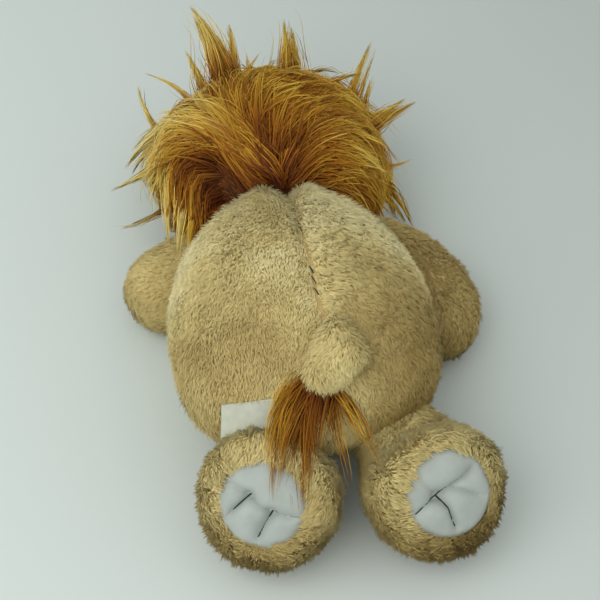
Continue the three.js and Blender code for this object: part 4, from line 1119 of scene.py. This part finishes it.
# Lighter to the left and to the crown end; darker at the crown; painted shade in the hollow and in the
# pocket.
tones = (0.43 + tones + 0.34 * smooth(0, -60, end[:, 0]) + 0.1 * smooth(130, 175, middle[:, 1])
         - 0.05 * smooth(20, 80, end[:, 0]) + 0.08 * noise(root, 22, 47) - 0.3 * smooth(48, 14, to_crown)
         - 0.12 * bell(middle[:, 0] + 8, 26) * bell(middle[:, 1] - 122, 24)
         - 0.62 * smooth(1.0, 0.6, in_hollow) - 0.5 * smooth(1.0, 0.4, in_shade_pocket))
facing = unit(cap_normal(middle) + 0.6 * sides)
keep = torso_depth(paths.reshape(-1, 3), 1.0).reshape(paths.shape[:2]).min(1) > 1
paths, tones, facing = paths[keep], tones[keep], facing[keep]
order = np.argsort(paths[:, 0, 0], kind="stable")
chunks = np.array_split(order, math.ceil(len(order) / MOST_HAIRS))
mane_pieces = [hair_mesh("mane_hair_%d" % (k + 1), paths[c], tones[c], 0.8, facing[c])
               for k, c in enumerate(chunks)]
def underlayer_relief(points, facing):
    """Lumps, and a dent where the torso's neck end presses into the cap under the hair."""
    return 1.6 * noise(points, 16, 51) - 12 * np.clip(1.25 - torso_depth(points, 4), 0, 1)


mane_under = ball("mane_underlayer", MANE_CENTRE, MANE_RADII * [0.88, 0.9, 0.88], rust_cloth_and_shade, 40, 72,
                  underlayer_relief, drop=0.35 / 0.88)[1]

# The tail tuft's locks: root, bend, tip, hairs and how far they spread at the root.
TUFT = [
    ((-3, -91, 95), (-40, -113, 106), (-45, -152, 87), 70, 2.6),
    ((-3, -91, 95), (-33, -119, 106), (-46, -169, 70), 90, 3.0),
    ((0, -94, 95), (-28, -123, 104), (-38, -164, 79), 90, 3.0),
    ((0, -94, 95), (-21, -126, 103), (-28, -183, 66), 80, 3.0),
    ((0, -99, 95), (-17, -130, 101), (-22, -175, 77), 60, 2.8),
    ((0, -99, 95), (-17, -117, 102), (-15, -161, 93), 60, 3.0),
    ((-3, -91, 95), (-24, -101, 104), (-44, -135, 104), 40, 2.4),
    ((0, -94, 95), (-24, -119, 104), (-34, -178, 68), 34, 2.0),
    ((0, -99, 95), (-21, -115, 102), (-38, -146, 96), 50, 3.2),
    ((5, -104, 94), (-6, -128, 96), (-12, -148, 84), 60, 3.4),
    ((5, -104, 94), (14, -119, 95), (20, -139, 78), 40, 2.6),
    ((10, -109, 91), (19, -124, 90), (27, -150, 66), 30, 2.0),
    ((10, -109, 91), (13, -130, 88), (28, -157, 60), 16, 1.6),
    ((5, -104, 94), (2, -139, 86), (6, -161, 60), 22, 1.8),
    ((5, -104, 94), (-1, -127, 92), (0, -151, 72), 26, 2.4)]
TUFT_SHARE = 0.62
paths, tones, sides = hair_bundle(lock_curves(TUFT), [int(lock[3] * TUFT_SHARE) for lock in TUFT],
                                  [lock[4] for lock in TUFT], gather=0.3, wave=2.6, shortest=0.45,
                                  tone=(0.12, 0.1), bulge=0.5)
tones = tones + 0.3 - 0.4 * bell(np.linalg.norm(paths[:, 2] - [-6, -108, 99], axis=1), 15)
tuft_hair = hair_mesh("tail_tuft_hair", paths, tones, 0.65, unit(Z + 0.5 * sides))

# Label
rows, columns = 18, 26
u = np.linspace(0, 1, rows)[:, None]
v = np.linspace(-0.5, 0.5, columns)[None]
bow = 2.4 * u ** 2 + 1.2 * np.sin(math.pi * u) * np.cos(v * 2.6) + 0.6 * np.cos(5 * v) * u
swing = 0.2 * LABEL_WIDTH * v * np.sign((label_across * X).sum())
upper = (label_point + label_normal * 1.4 + label_way * (u * LABEL_LENGTH * 0.985 - swing)[..., None]
         + label_across * (v * LABEL_WIDTH * 0.99)[..., None] + label_normal * bow[..., None]).reshape(-1, 3)
lower = upper - label_normal * 0.5
index = np.arange(rows * columns).reshape(rows, columns)
total = rows * columns
quads = []
for i, j in product(range(rows - 1), range(columns - 1)):
    a, b, c, d = index[i, j], index[i, j + 1], index[i + 1, j + 1], index[i + 1, j]
    quads += [(a, b, c, d), (d + total, c + total, b + total, a + total)]
edge = [*index[0], *index[1:, -1], *index[-1, -2::-1], *index[-2:0:-1, 0]]
quads += [(b, a, a + total, b + total) for a, b in zip(edge, edge[1:] + edge[:1])]
label = mesh_object("label_tape", np.concatenate([upper, lower]), quads, tape)

# Hand stitches along the centre seam
stitches = []
for k, y in enumerate((44, 36, 28, 19, 10, -30, -38, -47)):
    ends = [seat((SEAM_X + side * 0.9, y - side * 3, 200), -Z)[0] for side in (-1, 1)]
    path = np.linspace(*ends, 9)
    path[:, 2] += 1.3 + 0.8 * np.sin(np.linspace(0, math.pi, 9))
    stitches.append(tube("seam_stitch_%d" % (k + 1), path, 0.4, thread))

# What rides on what
RIDERS = {
    "torso": [torso_skin, *torso_piles, *stitches],
    "head": [head_skin, face_pile, muzzle, muzzle_pile, nose, *eyes.values(), *mane_pieces, mane_under],
    "tail": [tail_skin, tail_pile, tuft_hair],
    "label": [label]}
RIDERS.update(limbs)
for side in SIDES:
    RIDERS["leg_" + side] = limbs["leg_" + side] + soles[side]
    RIDERS["ear_" + side] = ears[side]
for body, pieces in RIDERS.items():
    for obj in pieces:
        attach(obj, body)

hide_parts("torso_back_left", "torso_back_right", "torso_belly", "torso_filling")
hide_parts("face", "head_back", "head_filling")
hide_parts("mane")
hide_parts("muzzle")
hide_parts("nose")
for side in SIDES:
    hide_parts("eye_" + side)
    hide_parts("arm_" + side, "arm_%s_filling" % side)
    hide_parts("leg_" + side, "leg_%s_filling" % side)
    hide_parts("sole_" + side)
    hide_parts("ear_" + side)
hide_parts("tail")
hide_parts("tail_tuft")
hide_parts("label")
for side in SIDES:
    for slot in frame["nodes"]["eye_washer_" + side].material_slots:
        slot.material = washer
